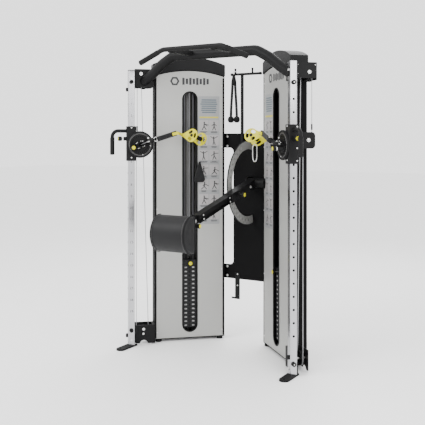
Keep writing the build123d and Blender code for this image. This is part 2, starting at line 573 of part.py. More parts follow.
def sector_plate():
    """Indexed ring band and the fixed pivot: shaft, inner ear and outer drum on the panel."""
    plane = Plane(origin=(SECTOR_X - SECTOR_THICK / 2, PIVOT_Y, PIVOT_Z), x_dir=(0, 1, 0), z_dir=(1, 0, 0))
    band = extrude(plane * (Circle(SECTOR_OUT) - Circle(SECTOR_IN)), amount=SECTOR_THICK)
    band -= block(0, 100, PANEL_Y, 900, 0, 2400)
    for step in range(-8, 9):
        turn = radians(180 + ARM_SLOPE + 10 * step)
        y, z = PIVOT_Y + SECTOR_MID * cos(turn), PIVOT_Z + SECTOR_MID * sin(turn)
        band -= bar((0, y, z), (100, y, z), 6.6)
    ear = block(48, 58, PIVOT_Y, PANEL_Y, PIVOT_Z - 45, PIVOT_Z + 45)
    ear += bar((48, PIVOT_Y, PIVOT_Z), (58, PIVOT_Y, PIVOT_Z), 45)
    drum = bar((150, PIVOT_Y, PIVOT_Z), (204, PIVOT_Y, PIVOT_Z), 38)
    drum += block(154, 172, PIVOT_Y, PANEL_Y, PIVOT_Z - 30, PIVOT_Z + 30)
    drum -= on_right(block(TOWER_IN - 3, 300, -3, 200, PIVOT_Z - 60, PIVOT_Z + 60))[0]
    shaft = bar((58, PIVOT_Y, PIVOT_Z), (150, PIVOT_Y, PIVOT_Z), 15)
    return [band, ear + shaft + drum]


def pad_arm():
    """Swinging arm: barrel on the pivot, thick root, slimmer tube and an index plate at its end."""
    arm = bar((60, 0, 0), (147, 0, 0), 38)
    arm += block(62, 128, -ARM_STEP, 0, -33, 33)
    arm += block(66, 124, -ARM_END, -ARM_STEP, -29, 29)
    arm += block(91, 99, -ARM_REACH, -ARM_END, -29, 29)
    arm += bar((91, -ARM_REACH, 0), (99, -ARM_REACH, 0), 39)
    arm -= block(60, 130, -ARM_END + 1, -ARM_STEP, -25, 25) - block(91, 99, -ARM_END, -ARM_STEP, -30, 30)
    arm -= bar((50, 0, 0), (160, 0, 0), 15.05)
    arm += bar((128, -SECTOR_MID, 0), (150, -SECTOR_MID, 0), 14)
    arm -= bar((50, -SECTOR_MID, 0), (160, -SECTOR_MID, 0), 6.3)
    arm -= bar((80, -ARM_REACH, 0), (110, -ARM_REACH, 0), 8.05)
    for step in range(-5, 6):
        turn = radians(-90 - ARM_SLOPE + 15 * step)
        y, z = -ARM_REACH + TILT_R * cos(turn), TILT_R * sin(turn)
        arm -= bar((80, y, z), (110, y, z), 3.7)
    return ON_ARM * arm


ON_ARM = Pos(0, PIVOT_Y, PIVOT_Z) * Rot(ARM_SLOPE, 0, 0)
PAD_PIVOT_Y = PIVOT_Y - ARM_REACH * cos(radians(ARM_SLOPE))
PAD_PIVOT_Z = PIVOT_Z - ARM_REACH * sin(radians(ARM_SLOPE))


def arm_pin():
    """Pull pin of the swinging arm, drawn pulled back so that its tip is clear of the ring band."""
    tip = SECTOR_X + SECTOR_THICK / 2 + 1.5
    shaft = bar((tip, -SECTOR_MID, 0), (157, -SECTOR_MID, 0), 6)
    knob = bar((155, -SECTOR_MID, 0), (182, -SECTOR_MID, 0), 18)
    return ON_ARM * (shaft + knob.fillet(5, knob.edges().filter_by(GeomType.CIRCLE)))


def pad_board():
    """Backing board with two ears, hinge bolt and pin housing."""
    board = block(-PAD_HALF_W + 12, PAD_HALF_W - 12, PAD_BACK, PAD_BACK + 12, PAD_LOW + 20, PAD_HIGH - 20)
    pin_z = PAD_PIVOT_Z - TILT_R
    for x in (82.2, 99.8):
        board += along(Pos(PAD_PIVOT_Y, PAD_PIVOT_Z) * Circle(20), x, x + 8)
        board += along(Pos(PAD_PIVOT_Y, pin_z) * Circle(16), x, x + 8)
        board += block(x, x + 8, PAD_BACK + 11, PAD_PIVOT_Y, pin_z - 16, PAD_PIVOT_Z + 20)
    board += bar((107.8, PAD_PIVOT_Y, pin_z), (126, PAD_PIVOT_Y, pin_z), 12)
    board -= bar((99, PAD_PIVOT_Y, pin_z), (129, PAD_PIVOT_Y, pin_z), 3.8)
    board -= bar((70, PAD_PIVOT_Y, PAD_PIVOT_Z), (120, PAD_PIVOT_Y, PAD_PIVOT_Z), 8)
    bolt = bar((76, PAD_PIVOT_Y, PAD_PIVOT_Z), (107.8, PAD_PIVOT_Y, PAD_PIVOT_Z), 8)
    bolt += bar((107.8, PAD_PIVOT_Y, PAD_PIVOT_Z), (116, PAD_PIVOT_Y, PAD_PIVOT_Z), 13)
    return [board, bolt]


def pad_pin():
    """Pull pin of the pad, drawn pulled back so that its tip is clear of the index plate."""
    pin_z = PAD_PIVOT_Z - TILT_R
    shaft = bar((100.2, PAD_PIVOT_Y, pin_z), (134, PAD_PIVOT_Y, pin_z), 3.5)
    knob = bar((131, PAD_PIVOT_Y, pin_z), (155, PAD_PIVOT_Y, pin_z), 16)
    return shaft + knob.fillet(5, knob.edges().filter_by(GeomType.CIRCLE))


def pad_cushion():
    """Thick half-round chest pad with a flat back."""
    middle = (PAD_LOW + PAD_HIGH) / 2
    half = (PAD_HIGH - PAD_LOW) / 2
    depth = PAD_BACK - PAD_FRONT
    outline = Pos(PAD_BACK, middle) * (Ellipse(depth, half) - Pos(depth, 0) * Rectangle(2 * depth, 4 * half))
    pad = along(outline, -PAD_HALF_W, PAD_HALF_W)
    return fillet(pad.edges().group_by(Axis.X)[0] + pad.edges().group_by(Axis.X)[-1], 6)


def accessory_rack():
    """Pole and cross rod with upright pins, the storage hook under the panel, and the spare strap's peg."""
    pole = bar((RACK_X, RACK_Y, 1560), (RACK_X, RACK_Y, RACK_Z), 12.5)
    for z in (1580, 1625):
        pole += bar((RACK_X, RACK_Y, z), (RACK_X, PANEL_Y, z), 8)
    rod = bar((-120, RACK_Y, RACK_Z), (150, RACK_Y, RACK_Z), 10)
    for x in (ROPE_X, 72):
        rod += bar((x, RACK_Y, RACK_Z), (x, RACK_Y, RACK_Z + 44), 7)
    hook = block(-100, -58, PANEL_Y - 5, PANEL_Y, 320, 530)
    hook += block(-132, -58, PANEL_Y - 5, PANEL_Y, 320, 334)
    return [pole + rod, hook] + on_left([bar((STRAP_U, -30, STRAP_TOP - 11), (STRAP_U, 0, STRAP_TOP - 11), 5)])


def spare_strap():
    """Tapered strap handle hung on the peg beside the left tower's slot."""
    low = STRAP_LOW + 22
    outline = Polyline((-6, STRAP_TOP), (6, STRAP_TOP), (46, low), (30, STRAP_LOW), (-30, STRAP_LOW),
                       (-46, low), (-6, STRAP_TOP))
    flat = make_face(Plane.XZ * outline)
    strap = Pos(STRAP_U, -8, 0) * extrude(flat, 14, dir=(0, -1, 0))
    return [strap - bar((STRAP_U, -40, STRAP_TOP - 11), (STRAP_U, 5, STRAP_TOP - 11), 5.2)]


def panel_bolts():
    heads = []
    for z in (1623, 1546, 575, 503):
        heads.append(bar((-173, PANEL_Y - 5, z), (-173, PANEL_Y, z), 8))
    return heads


def rope():
    """Two-tailed pull rope hung on the rack's left pin."""
    fitting = pipe((ROPE_X, RACK_Y, 2132), (ROPE_X, RACK_Y, 2146), 16, 11)
    body = bar((ROPE_X, RACK_Y - 26, 2118), (ROPE_X, RACK_Y - 26, 2050), 12)
    fitting += block(ROPE_X - 6, ROPE_X + 6, RACK_Y - 30, RACK_Y - 12, 2112, 2144)
    parts = [fitting + body]
    for side, foot_x in ((-1, -109), (1, -55)):
        top = (ROPE_X + side * 12, RACK_Y - 26, 2050)
        low = (foot_x, RACK_Y - 26, 1780)
        parts.append(bar(top, low, 11))
        ball = Pos(foot_x, RACK_Y - 26, 1757) * Sphere(25)
        parts.append(ball)
    return parts


# ---- nodes -----------------------------------------------------------------------------------
def paired(name, make):
    return {"left_" + name: on_left(make()), "right_" + name: on_right(make())}


def both(make):
    return on_left(make()) + on_right(make())


nodes = {}
for name, make in (("tower_case", tower_case), ("tower_frame", tower_frame), ("front_shroud", front_shroud),
                   ("column", column), ("top_bracket", top_bracket),
                   ("head_plate", head_plate), ("selector_pin", selector_pin),
                   ("floating_pulley", floating_pulley), ("stack_cables", stack_cables),
                   ("lift_pulley", lift_pulley), ("bottom_pulley", bottom_pulley),
                   ("upper_cable", upper_cable), ("lower_cable", lower_cable),
                   ("carriage", carriage), ("carriage_pulley", carriage_pulley), ("pop_pin", pop_pin),
                   ("swivel_yoke", swivel_yoke), ("swivel_pin", swivel_pin),
                   ("handle_plates", handle_plates), ("handle_grip", handle_grip)):
    nodes.update(paired(name, make))
nodes["top_caps"] = both(top_cap)
nodes["bottom_brackets"] = both(bottom_bracket)
nodes["guide_rods"] = both(guide_rods)
nodes["weight_plates"] = both(weight_plates)
nodes["tower_top_pulleys"] = both(tower_top_pulleys)
nodes["fixed_cables"] = both(fixed_cables)
nodes["frame_bolts"] = both(side_bolts) + panel_bolts()
nodes["column_feet"] = [column_foot(), mirror(column_foot(), about=Plane.YZ)] + both(column_plug)
nodes["column_feet"] += both(tower_feet)
nodes["cross_tube"] = [cross_tube()]
nodes["chin_bar"] = [chin_bar()]
nodes["back_panel"] = [back_panel()]
nodes["sector_plate"] = sector_plate()
nodes["pad_arm"] = [pad_arm()]
nodes["arm_pin"] = [arm_pin()]
nodes["pad_board"] = pad_board()
nodes["pad_pin"] = [pad_pin()]
nodes["pad_cushion"] = [pad_cushion()]
nodes["accessory_rack"] = accessory_rack()
nodes["strap_handle"] = on_left(spare_strap())
nodes["rope"] = rope()

# The origin is the middle of the whole machine's footprint, so everything moves by one offset in y.
boxes = [part.bounding_box() for parts in nodes.values() for part in parts]
OFFSET_Y = -(min(box.min.Y for box in boxes) + max(box.max.Y for box in boxes)) / 2
print("offset in y", round(OFFSET_Y, 3))
print("x", round(min(box.min.X for box in boxes), 2), round(max(box.max.X for box in boxes), 2))
print("top", round(max(box.max.Z for box in boxes), 2), "nodes", len(nodes))

os.makedirs("parts", exist_ok=True)
for name, parts in nodes.items():
    solids = [solid for part in parts for solid in part.solids()]
    export_step(Compound(children=[Pos(0, OFFSET_Y, 0) * solid for solid in solids]), f"parts/{name}.step")
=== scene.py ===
"""Looks of the corner functional trainer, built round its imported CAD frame. Metres, +Z up, +Y back.

Tower-side pieces are drawn in the tower frame (u outward along the tower's face, v backward from it,
z up) and placed on the right side or mirrored to the left one.
"""
import math
import random

import bmesh
import bpy
from mathutils import Matrix, Vector


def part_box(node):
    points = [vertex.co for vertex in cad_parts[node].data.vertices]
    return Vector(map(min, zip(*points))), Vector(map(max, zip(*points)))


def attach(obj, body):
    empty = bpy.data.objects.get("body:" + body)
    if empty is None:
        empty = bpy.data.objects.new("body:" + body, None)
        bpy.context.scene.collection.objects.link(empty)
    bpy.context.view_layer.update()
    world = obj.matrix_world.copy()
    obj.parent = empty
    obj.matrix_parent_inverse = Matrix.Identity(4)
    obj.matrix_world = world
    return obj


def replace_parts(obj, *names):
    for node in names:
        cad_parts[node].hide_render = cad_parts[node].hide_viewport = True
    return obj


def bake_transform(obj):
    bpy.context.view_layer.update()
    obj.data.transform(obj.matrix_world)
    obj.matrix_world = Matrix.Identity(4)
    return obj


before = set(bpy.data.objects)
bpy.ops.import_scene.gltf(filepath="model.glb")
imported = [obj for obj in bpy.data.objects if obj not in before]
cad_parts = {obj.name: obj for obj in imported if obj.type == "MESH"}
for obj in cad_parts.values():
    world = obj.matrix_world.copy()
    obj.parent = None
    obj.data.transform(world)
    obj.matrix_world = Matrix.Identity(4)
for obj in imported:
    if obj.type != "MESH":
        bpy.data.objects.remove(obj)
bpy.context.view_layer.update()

# ---- dimensions shared with the CAD source, in metres ----------------------------------------
SPLAY = math.radians(43)
CORNER = (0.1868, 0.1013)
COLUMN_U, COLUMN_V, COLUMN_HALF = 0.740, -0.063, 0.025
column_low, column_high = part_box("right_column")
column_y = CORNER[1] - COLUMN_U * math.sin(SPLAY) + COLUMN_V * math.cos(SPLAY)
SHIFT_Y = (column_low.y + column_high.y) / 2 - column_y

SLOT_U, SLOT_HALF, SLOT_LOW, SLOT_HIGH = 0.267, 0.060, 0.070, 1.980
PLATE_COUNT, PLATE_PITCH, PLATE_FIRST, PLATE_THICK = 15, 0.033, 0.100, 0.032
PLATE_FRONT = 0.020
HOLE_FIRST, HOLE_PITCH, HOLE_COUNT = 0.2715, 0.0889, 19
PIN_Z = 0.617
CARRIAGE_PIN_Z = HOLE_FIRST + 15 * HOLE_PITCH
SLEEVE_HALF = 0.037
SWIVEL_U, SWIVEL_Z = 0.676, 1.560
DISC_R, DISC_BACK, DISC_FRONT = 0.101, -0.100, -0.112
INDEX_R = 0.062
ARM_LIFT, CHAIN_DROP, CHAIN_X, CABLE_OUT_V = math.radians(22), math.radians(4), 0.050, -0.165
CABLE_R = 0.0026
BACK_PLANE, FRONT_PLANE = 0.107, 0.035
LIFT_R, LIFT_Z = 0.0476, 2.050
SMALL_R, TOWER_R, FLOAT_R = 0.0346, 0.0406, 0.036
LIFT_U, LOW_U, TURN_U = SWIVEL_U - LIFT_R, 0.690 - LIFT_R, 0.651 - LIFT_R
LOW_Z, FLOAT_Z, OVERHEAD_Z = 0.084, 0.760, LIFT_Z + LIFT_R
TOWER_U, TOWER_Z = SLOT_U + TOWER_R, OVERHEAD_Z - TOWER_R
CARRIAGE_V, CARRIAGE_Z = BACK_PLANE - SMALL_R, SWIVEL_Z + SMALL_R
PIVOT = Vector((0.095, 0.088 + SHIFT_Y, 1.260))
ARM_SLOPE, ARM_REACH, ARM_STEP, ARM_END = math.radians(14.2), 0.890, 0.390, 0.846
SECTOR_X, SECTOR_OUT, SECTOR_IN = 0.053, 0.326, 0.262
SECTOR_MID = (SECTOR_OUT + SECTOR_IN) / 2
PANEL_Y = 0.155 + SHIFT_Y
BAR_Y, BAR_R, BAR_Z = -0.650 + SHIFT_Y, 0.0175, 2.245
TUBE_Y, TUBE_R, TUBE_Z = -0.350 + SHIFT_Y, 0.038, 2.235
PAD_HALF_W, PAD_BACK, PAD_FRONT = 0.155, -0.830 + SHIFT_Y, -0.963 + SHIFT_Y
PAD_LOW, PAD_HIGH = 0.825, 1.090
ROPE_X, ROPE_Y = -0.082, 0.099 + SHIFT_Y

SIDES = (("left", -1), ("right", 1))


def tower(side):
    """Matrix from the tower frame of one side to the row frame."""
    place = Matrix.Translation((CORNER[0], CORNER[1], 0)) @ Matrix.Rotation(-SPLAY, 4, "Z")
    mirror = Matrix.Diagonal((side, 1, 1, 1))
    return Matrix.Translation((0, SHIFT_Y, 0)) @ mirror @ place


def axes(origin, x_axis, z_axis):
    """Matrix of a frame from its origin, x direction and z direction."""
    x, z = Vector(x_axis).normalized(), Vector(z_axis).normalized()
    y = z.cross(x)
    columns = Matrix((x, y, z)).transposed().to_4x4()
    return Matrix.Translation(origin) @ columns


def facing(origin, direction):
    """Matrix of a frame whose z axis points along a direction."""
    turn = Vector((0, 0, 1)).rotation_difference(Vector(direction).normalized())
    return Matrix.Translation(origin) @ turn.to_matrix().to_4x4()


SWIVEL = axes((SWIVEL_U, 0, SWIVEL_Z), (-math.cos(ARM_LIFT), 0, math.sin(ARM_LIFT)),
              (-math.sin(ARM_LIFT), 0, -math.cos(ARM_LIFT)))
HANDLE = SWIVEL @ Matrix.Translation((CHAIN_X, CABLE_OUT_V, 0)) @ Matrix.Rotation(-CHAIN_DROP, 4, "Y")
ON_ARM = Matrix.Translation((0, PIVOT.y, PIVOT.z)) @ Matrix.Rotation(ARM_SLOPE, 4, "X")


# ---- materials -------------------------------------------------------------------------------
class Surface:
    """A Principled material with a few helpers for procedural detail in object coordinates."""

    def __init__(self, name, color, rough, metal=0.0, **sockets):
        self.material = bpy.data.materials.new(name)
        self.material.use_nodes = True
        self.tree = self.material.node_tree
        self.shader = self.tree.nodes["Principled BSDF"]
        self.shader.inputs["Base Color"].default_value = (*color, 1)
        self.shader.inputs["Roughness"].default_value = rough
        self.shader.inputs["Metallic"].default_value = metal
        for socket, value in sockets.items():
            self.shader.inputs[socket.replace("_", " ")].default_value = value
        self.color = color
        self.place = self.add("ShaderNodeTexCoord").outputs["Object"]
        self.height = None

    def add(self, kind, **values):
        node = self.tree.nodes.new(kind)
        for key, value in values.items():
            if key in node.inputs:
                node.inputs[key].default_value = value
            else:
                setattr(node, key, value)
        return node

    def link(self, start, end):
        self.tree.links.new(start, end)

    def noise(self, scale, detail=3.0, stretch=(1, 1, 1)):
        mapping = self.add("ShaderNodeMapping")
        mapping.inputs["Scale"].default_value = stretch
        self.link(self.place, mapping.inputs["Vector"])
        node = self.add("ShaderNodeTexNoise", Scale=scale, Detail=detail)
        self.link(mapping.outputs["Vector"], node.inputs["Vector"])
        return node.outputs["Fac"]

    def cells(self, scale):
        node = self.add("ShaderNodeTexVoronoi", Scale=scale)
        self.link(self.place, node.inputs["Vector"])
        return node.outputs["Distance"]

    def wave(self, scale, axis="Z", distort=0.0, kind="BANDS"):
        node = self.add("ShaderNodeTexWave", Scale=scale, Distortion=distort, wave_type=kind)
        node.bands_direction = axis
        self.link(self.place, node.inputs["Vector"])
        return node.outputs["Fac"]

    def spread(self, factor, low, high):
        node = self.add("ShaderNodeMapRange")
        node.inputs["To Min"].default_value, node.inputs["To Max"].default_value = low, high
        self.link(factor, node.inputs["Value"])
        return node.outputs["Result"]

    def tint(self, factor, dark, light):
        """Colour varies between two multiples of the base colour."""
        ramp = self.add("ShaderNodeValToRGB")
        ramp.color_ramp.elements[0].position, ramp.color_ramp.elements[1].position = 0.3, 0.7
        ramp.color_ramp.elements[0].color = (*(c * dark for c in self.color), 1)
        ramp.color_ramp.elements[1].color = (*(min(1, c * light) for c in self.color), 1)
        self.link(factor, ramp.inputs["Fac"])
        self.link(ramp.outputs["Color"], self.shader.inputs["Base Color"])
        return self

    def roughen(self, factor, low, high):
        self.link(self.spread(factor, low, high), self.shader.inputs["Roughness"])
        return self

    def bump(self, factor, strength, distance):
        node = self.add("ShaderNodeBump", Strength=strength, Distance=distance)
        self.link(factor, node.inputs["Height"])
        if self.height is not None:
            self.link(self.height, node.inputs["Normal"])
        self.height = node.outputs["Normal"]
        self.link(self.height, self.shader.inputs["Normal"])
        return self


def make_materials():
    made = {}

    def surface(name, *values, **sockets):
        made[name] = Surface(name, *values, **sockets)
        return made[name]

    silver = surface("silver_fleck", (0.335, 0.335, 0.322), 0.42, 0.30)
    silver.tint(silver.noise(1400, 2), 0.86, 1.12).roughen(silver.noise(6, 4), 0.38, 0.50)
    silver.bump(silver.noise(900, 2), 0.05, 0.0004)
    powder = surface("black_powder_coat", (0.0055, 0.0055, 0.0058), 0.5, Specular_IOR_Level=0.12)
    powder.tint(powder.noise(5, 4), 0.8, 1.35).roughen(powder.noise(40, 4), 0.40, 0.56)
    powder.bump(powder.noise(650, 3), 0.12, 0.0004)
    casing = surface("black_casing", (0.004, 0.004, 0.0042), 0.6, Specular_IOR_Level=0.05)
    casing.tint(casing.noise(4, 4), 0.8, 1.3).bump(casing.noise(500, 3), 0.10, 0.0004)
    moulded = surface("black_moulded", (0.006, 0.006, 0.0063), 0.5, Specular_IOR_Level=0.14)
    moulded.tint(moulded.noise(7, 3), 0.85, 1.25).bump(moulded.cells(700), 0.10, 0.0004)
    chrome = surface("column_chrome", (0.46, 0.46, 0.475), 0.24, 1.0)
    chrome.roughen(chrome.noise(30, 4, (1, 1, 0.05)), 0.13, 0.24)
    chrome.bump(chrome.noise(260, 3, (1, 1, 0.02)), 0.03, 0.0003)
    chrome.tint(chrome.noise(9, 5, (1, 1, 0.25)), 0.82, 1.12)
    rod = surface("dark_rod_steel", (0.07, 0.07, 0.074), 0.36, 1.0)
    rod.roughen(rod.noise(60, 3, (1, 1, 0.05)), 0.28, 0.42)
    stamp = surface("stamped_grey", (0.13, 0.13, 0.13), 0.5)
    stamp.tint(stamp.noise(60, 3), 0.8, 1.2)
    # Near-black, barely reflective colour used as painted shade: inside the column, in its holes and behind the
    # index disc.
    painted_shade_surface = surface("dark_liner", (0.003, 0.003, 0.003), 0.85, Specular_IOR_Level=0.05)
    painted_shade_surface.tint(painted_shade_surface.noise(20, 2), 0.8, 1.2)
    zinc = surface("zinc_steel", (0.66, 0.66, 0.65), 0.30, 1.0)
    zinc.tint(zinc.noise(60, 3), 0.9, 1.08).roughen(zinc.noise(90, 3), 0.24, 0.42)
    stack = surface("stack_plate_coat", (0.010, 0.010, 0.0105), 0.5, Specular_IOR_Level=0.18)
    stack.tint(stack.noise(20, 4), 0.75, 1.4).bump(stack.noise(420, 4), 0.25, 0.0006)
    yellow = surface("yellow_plastic", (0.52, 0.475, 0.008), 0.36, 0.0, Specular_IOR_Level=0.2)
    yellow.tint(yellow.noise(14, 3), 0.93, 1.04).bump(yellow.noise(500, 2), 0.04, 0.0003)
    cable = surface("wire_cable", (0.34, 0.34, 0.35), 0.36, 0.75)
    cable.bump(cable.wave(420, "DIAGONAL"), 0.5, 0.0006).roughen(cable.noise(120, 2), 0.3, 0.5)
    rubber = surface("black_rubber", (0.0055, 0.0055, 0.0057), 0.72, Specular_IOR_Level=0.15)
    rubber.tint(rubber.noise(9, 4), 0.8, 1.4).bump(rubber.noise(700, 3), 0.2, 0.0005)
    vinyl = surface("pad_vinyl", (0.0065, 0.0065, 0.0070), 0.48, 0.0, Sheen_Weight=0.02,
            Specular_IOR_Level=0.18)
    vinyl.tint(vinyl.noise(6, 4), 0.85, 1.3).bump(vinyl.cells(420), 0.22, 0.0006)
    vinyl.bump(vinyl.noise(18, 4), 0.12, 0.002).roughen(vinyl.noise(25, 3), 0.40, 0.55)
    webbing = surface("black_webbing", (0.008, 0.008, 0.0085), 0.8, 0.0, Sheen_Weight=0.1,
            Specular_IOR_Level=0.2)
    webbing.tint(webbing.noise(60, 3), 0.7, 1.5).bump(webbing.wave(330, "X"), 0.45, 0.0006)
    webbing.bump(webbing.wave(330, "Z"), 0.35, 0.0005)
    thread = surface("grey_thread", (0.12, 0.12, 0.12), 0.7)
    thread.bump(thread.wave(600, "DIAGONAL"), 0.4, 0.0003)
    braid = surface("braided_rope", (0.008, 0.008, 0.0085), 0.8, 0.0, Sheen_Weight=0.1,
            Specular_IOR_Level=0.2)
    braid.tint(braid.noise(80, 3), 0.7, 1.6).bump(braid.wave(190, "DIAGONAL", 1.0), 0.6, 0.0012)
    liner = surface("stack_liner", (0.105, 0.103, 0.100), 0.55)
    liner.tint(liner.noise(3, 3, (8, 8, 0.2)), 0.8, 1.2).roughen(liner.noise(30, 2), 0.45, 0.6)
    placard = surface("placard_film", (0.235, 0.24, 0.245), 0.45)
    placard.tint(placard.noise(8, 3), 0.96, 1.03)
    cell = surface("placard_cell", (0.315, 0.30, 0.30), 0.45)
    cell.tint(cell.noise(12, 3), 0.95, 1.04)
    ink = surface("placard_ink", (0.012, 0.012, 0.014), 0.5)
    ink.tint(ink.noise(90, 2), 0.8, 1.3)
    slate = surface("placard_slate", (0.07, 0.10, 0.12), 0.5)
    slate.tint(slate.noise(60, 2), 0.9, 1.1)
    accent = surface("placard_yellow", (0.45, 0.40, 0.03), 0.45)
    accent.tint(accent.noise(50, 2), 0.93, 1.05)
    white = surface("label_white", (0.55, 0.55, 0.54), 0.5)
    white.tint(white.noise(70, 2), 0.93, 1.03)
    floor = surface("studio_floor", (0.93, 0.93, 0.93), 0.6)
    floor.tint(floor.noise(2, 2), 0.995, 1.005)
    return {name: made_surface.material for name, made_surface in made.items()}


MATERIALS = make_materials()


# ---- mesh builders ---------------------------------------------------------------------------
def piece(name, bm, material, body, matrix=None, bevel=0.0, smooth=True):
    """Turns a bmesh into a named piece that rides on a body."""
    if matrix is not None:
        bm.transform(matrix)
        if matrix.to_3x3().determinant() < 0:
            bmesh.ops.reverse_faces(bm, faces=bm.faces)
    mesh = bpy.data.meshes.new(name)
    bm.to_mesh(mesh)
    bm.free()
    obj = bpy.data.objects.new(name, mesh)
    bpy.context.scene.collection.objects.link(obj)
    mesh.materials.append(MATERIALS[material])
    if smooth:
        mesh.shade_smooth()
        mesh.set_sharp_from_angle(angle=math.radians(38))
    if bevel:
        rounded = obj.modifiers.new("edge", "BEVEL")
        rounded.width, rounded.segments, rounded.limit_method = bevel, 2, "ANGLE"
        rounded.angle_limit, rounded.harden_normals = math.radians(35), False
    if body:
        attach(obj, body)
    return obj


def lathe(profile, steps=32, matrix=None, into=None):
    """Turns a profile of (radius, height) round the z axis."""
    bm = into or bmesh.new()
    rings = []
    for radius, height in profile:
        if radius < 1e-6:
            rings.append([bm.verts.new((0, 0, height))])
            continue
        turns = [2 * math.pi * i / steps for i in range(steps)]
        rings.append([bm.verts.new((radius * math.cos(t), radius * math.sin(t), height)) for t in turns])
    made = [v for ring in rings for v in ring]
    for low, high in zip(rings, rings[1:]):
        for i in range(steps):
            j = (i + 1) % steps
            corners = [low[i % len(low)], low[j % len(low)], high[j % len(high)], high[i % len(high)]]
            unique = list(dict.fromkeys(corners))
            if len(unique) > 2:
                bm.faces.new(unique)
    if matrix is not None:
        bmesh.ops.transform(bm, matrix=matrix, verts=made)
    bmesh.ops.recalc_face_normals(bm, faces=list({f for v in made for f in v.link_faces}))
    return bm


def sweep(points, section, into=None, across=None, caps=True, closed=False):
    """Sweeps a closed 2-D section along points. The section's x keeps the across direction, if given."""
    bm = into or bmesh.new()
    points = [Vector(p) for p in points]
    count = len(points)
    side = None
    rings = []
    for i, p in enumerate(points):
        before = points[(i - 1) % count] if closed or i else points[i]
        after = points[(i + 1) % count] if closed or i < count - 1 else points[i]
        along = (after - before).normalized()
        if across is not None:
            side = Vector(across) - along * along.dot(across)
            side.normalize()
        elif side is None:
            seed = Vector((0, 0, 1)) if abs(along.z) < 0.9 else Vector((1, 0, 0))
            side = seed.cross(along).normalized()
        else:
            side = (side - along * side.dot(along)).normalized()
        rise = along.cross(side)
        rings.append([bm.verts.new(p + side * x + rise * y) for x, y in section])
    size = len(section)
    pairs = list(zip(rings, rings[1:])) + ([(rings[-1], rings[0])] if closed else [])
    faces = []
    for low, high in pairs:
        for i in range(size):
            j = (i + 1) % size
            faces.append(bm.faces.new((low[i], low[j], high[j], high[i])))
    if caps and not closed:
        faces.append(bm.faces.new(rings[0][::-1]))
        faces.append(bm.faces.new(rings[-1]))
    bmesh.ops.recalc_face_normals(bm, faces=faces)
    return bm


def ring_section(radius, steps=12):
    return [(radius * math.cos(2 * math.pi * i / steps), radius * math.sin(2 * math.pi * i / steps))
            for i in range(steps)]


def flat_section(width, thick):
    """A strap's section with rounded edges."""
    half, edge = width / 2, thick / 2
    ends = [(half - edge * 0.3, edge), (half, 0), (half - edge * 0.3, -edge)]
    return ends + [(-x, y) for x, y in ends[::-1]]


def slab(outline, low, high, into=None, matrix=None):
    """A flat outline in x and y made solid between two heights."""
    bm = into or bmesh.new()
    bottom = [bm.verts.new((x, y, low)) for x, y in outline]
    top = [bm.verts.new((x, y, high)) for x, y in outline]
    faces = [bm.faces.new(bottom[::-1]), bm.faces.new(top)]
    count = len(outline)
    for i in range(count):
        j = (i + 1) % count
        faces.append(bm.faces.new((bottom[i], bottom[j], top[j], top[i])))
    if matrix is not None:
        bmesh.ops.transform(bm, matrix=matrix, verts=bottom + top)
    bmesh.ops.recalc_face_normals(bm, faces=faces)
    return bm


def rounded_box(width, height, radius, steps=4):
    """Outline of a rounded rectangle about the origin."""
    points = []
    for cx, cy, start in ((1, 1, 0), (-1, 1, 90), (-1, -1, 180), (1, -1, 270)):
        for i in range(steps + 1):
            t = math.radians(start + 90 * i / steps)
            points.append((cx * (width / 2 - radius) + radius * math.cos(t),
                           cy * (height / 2 - radius) + radius * math.sin(t)))
    return points


def arc(centre, radius, start, turn, steps=14):
    """Points of an arc in a plane, in degrees."""
    cx, cy = centre
    angles = [math.radians(start + turn * i / steps) for i in range(steps + 1)]
    return [(cx + radius * math.cos(t), cy + radius * math.sin(t)) for t in angles]


def number_mesh(text, size, matrix, into):
    """Thin raised digits in the x-y plane of a matrix."""
    curve = bpy.data.curves.new("digits", "FONT")
    curve.body, curve.size, curve.extrude = text, size, 0.0002
    curve.align_x, curve.align_y = "CENTER", "CENTER"
    curve.resolution_u = 2
    holder = bpy.data.objects.new("digits", curve)
    bpy.context.scene.collection.objects.link(holder)
    bpy.context.view_layer.update()
    mesh = bpy.data.meshes.new_from_object(holder)
    mesh.transform(matrix)
    into.from_mesh(mesh)
    bpy.data.objects.remove(holder)
    bpy.data.curves.remove(curve)
    bpy.data.meshes.remove(mesh)


# A frame drawn on a tower's face: x runs to the viewer's right, y up, z out of the face.
def face_frame(side, u, v, z):
    x_axis = (side, 0, 0)
    return tower(side) @ Matrix.Translation((u, v, z)) @ axes((0, 0, 0), x_axis, (0, -side * side, 0)) \
        if side > 0 else tower(side) @ axes((u, v, z), (-1, 0, 0),
                (0, -1, 0)) @ Matrix.Diagonal((1, -1, 1, 1))


def hex_bolt(into, matrix, radius=0.008, height=0.005):
    """Washer and chamfered hexagon head standing on a surface."""
    lathe([(0, 0), (radius * 1.35, 0), (radius * 1.35, 0.0012), (0, 0.0012)], 24, matrix, into)
    outline = [(radius * math.cos(math.radians(60 * i)),
            radius * math.sin(math.radians(60 * i))) for i in range(6)]
    slab(outline, 0.001, 0.001 + height, into, matrix)
    lathe([(radius * 0.85, 0.001 + height), (radius * 0.6, 0.002 + height), (0, 0.002 + height)], 18,
            matrix, into)


def button_bolt(into, matrix, radius=0.007):
    """Domed screw head with a hex socket."""
    dome = [(radius, 0), (radius, 0.0012), (radius * 0.86, 0.0028), (radius * 0.55, 0.0038),
            (radius * 0.42, 0.0039), (radius * 0.40, 0.0016), (0, 0.0016)]
    lathe(dome, 20, matrix, into)


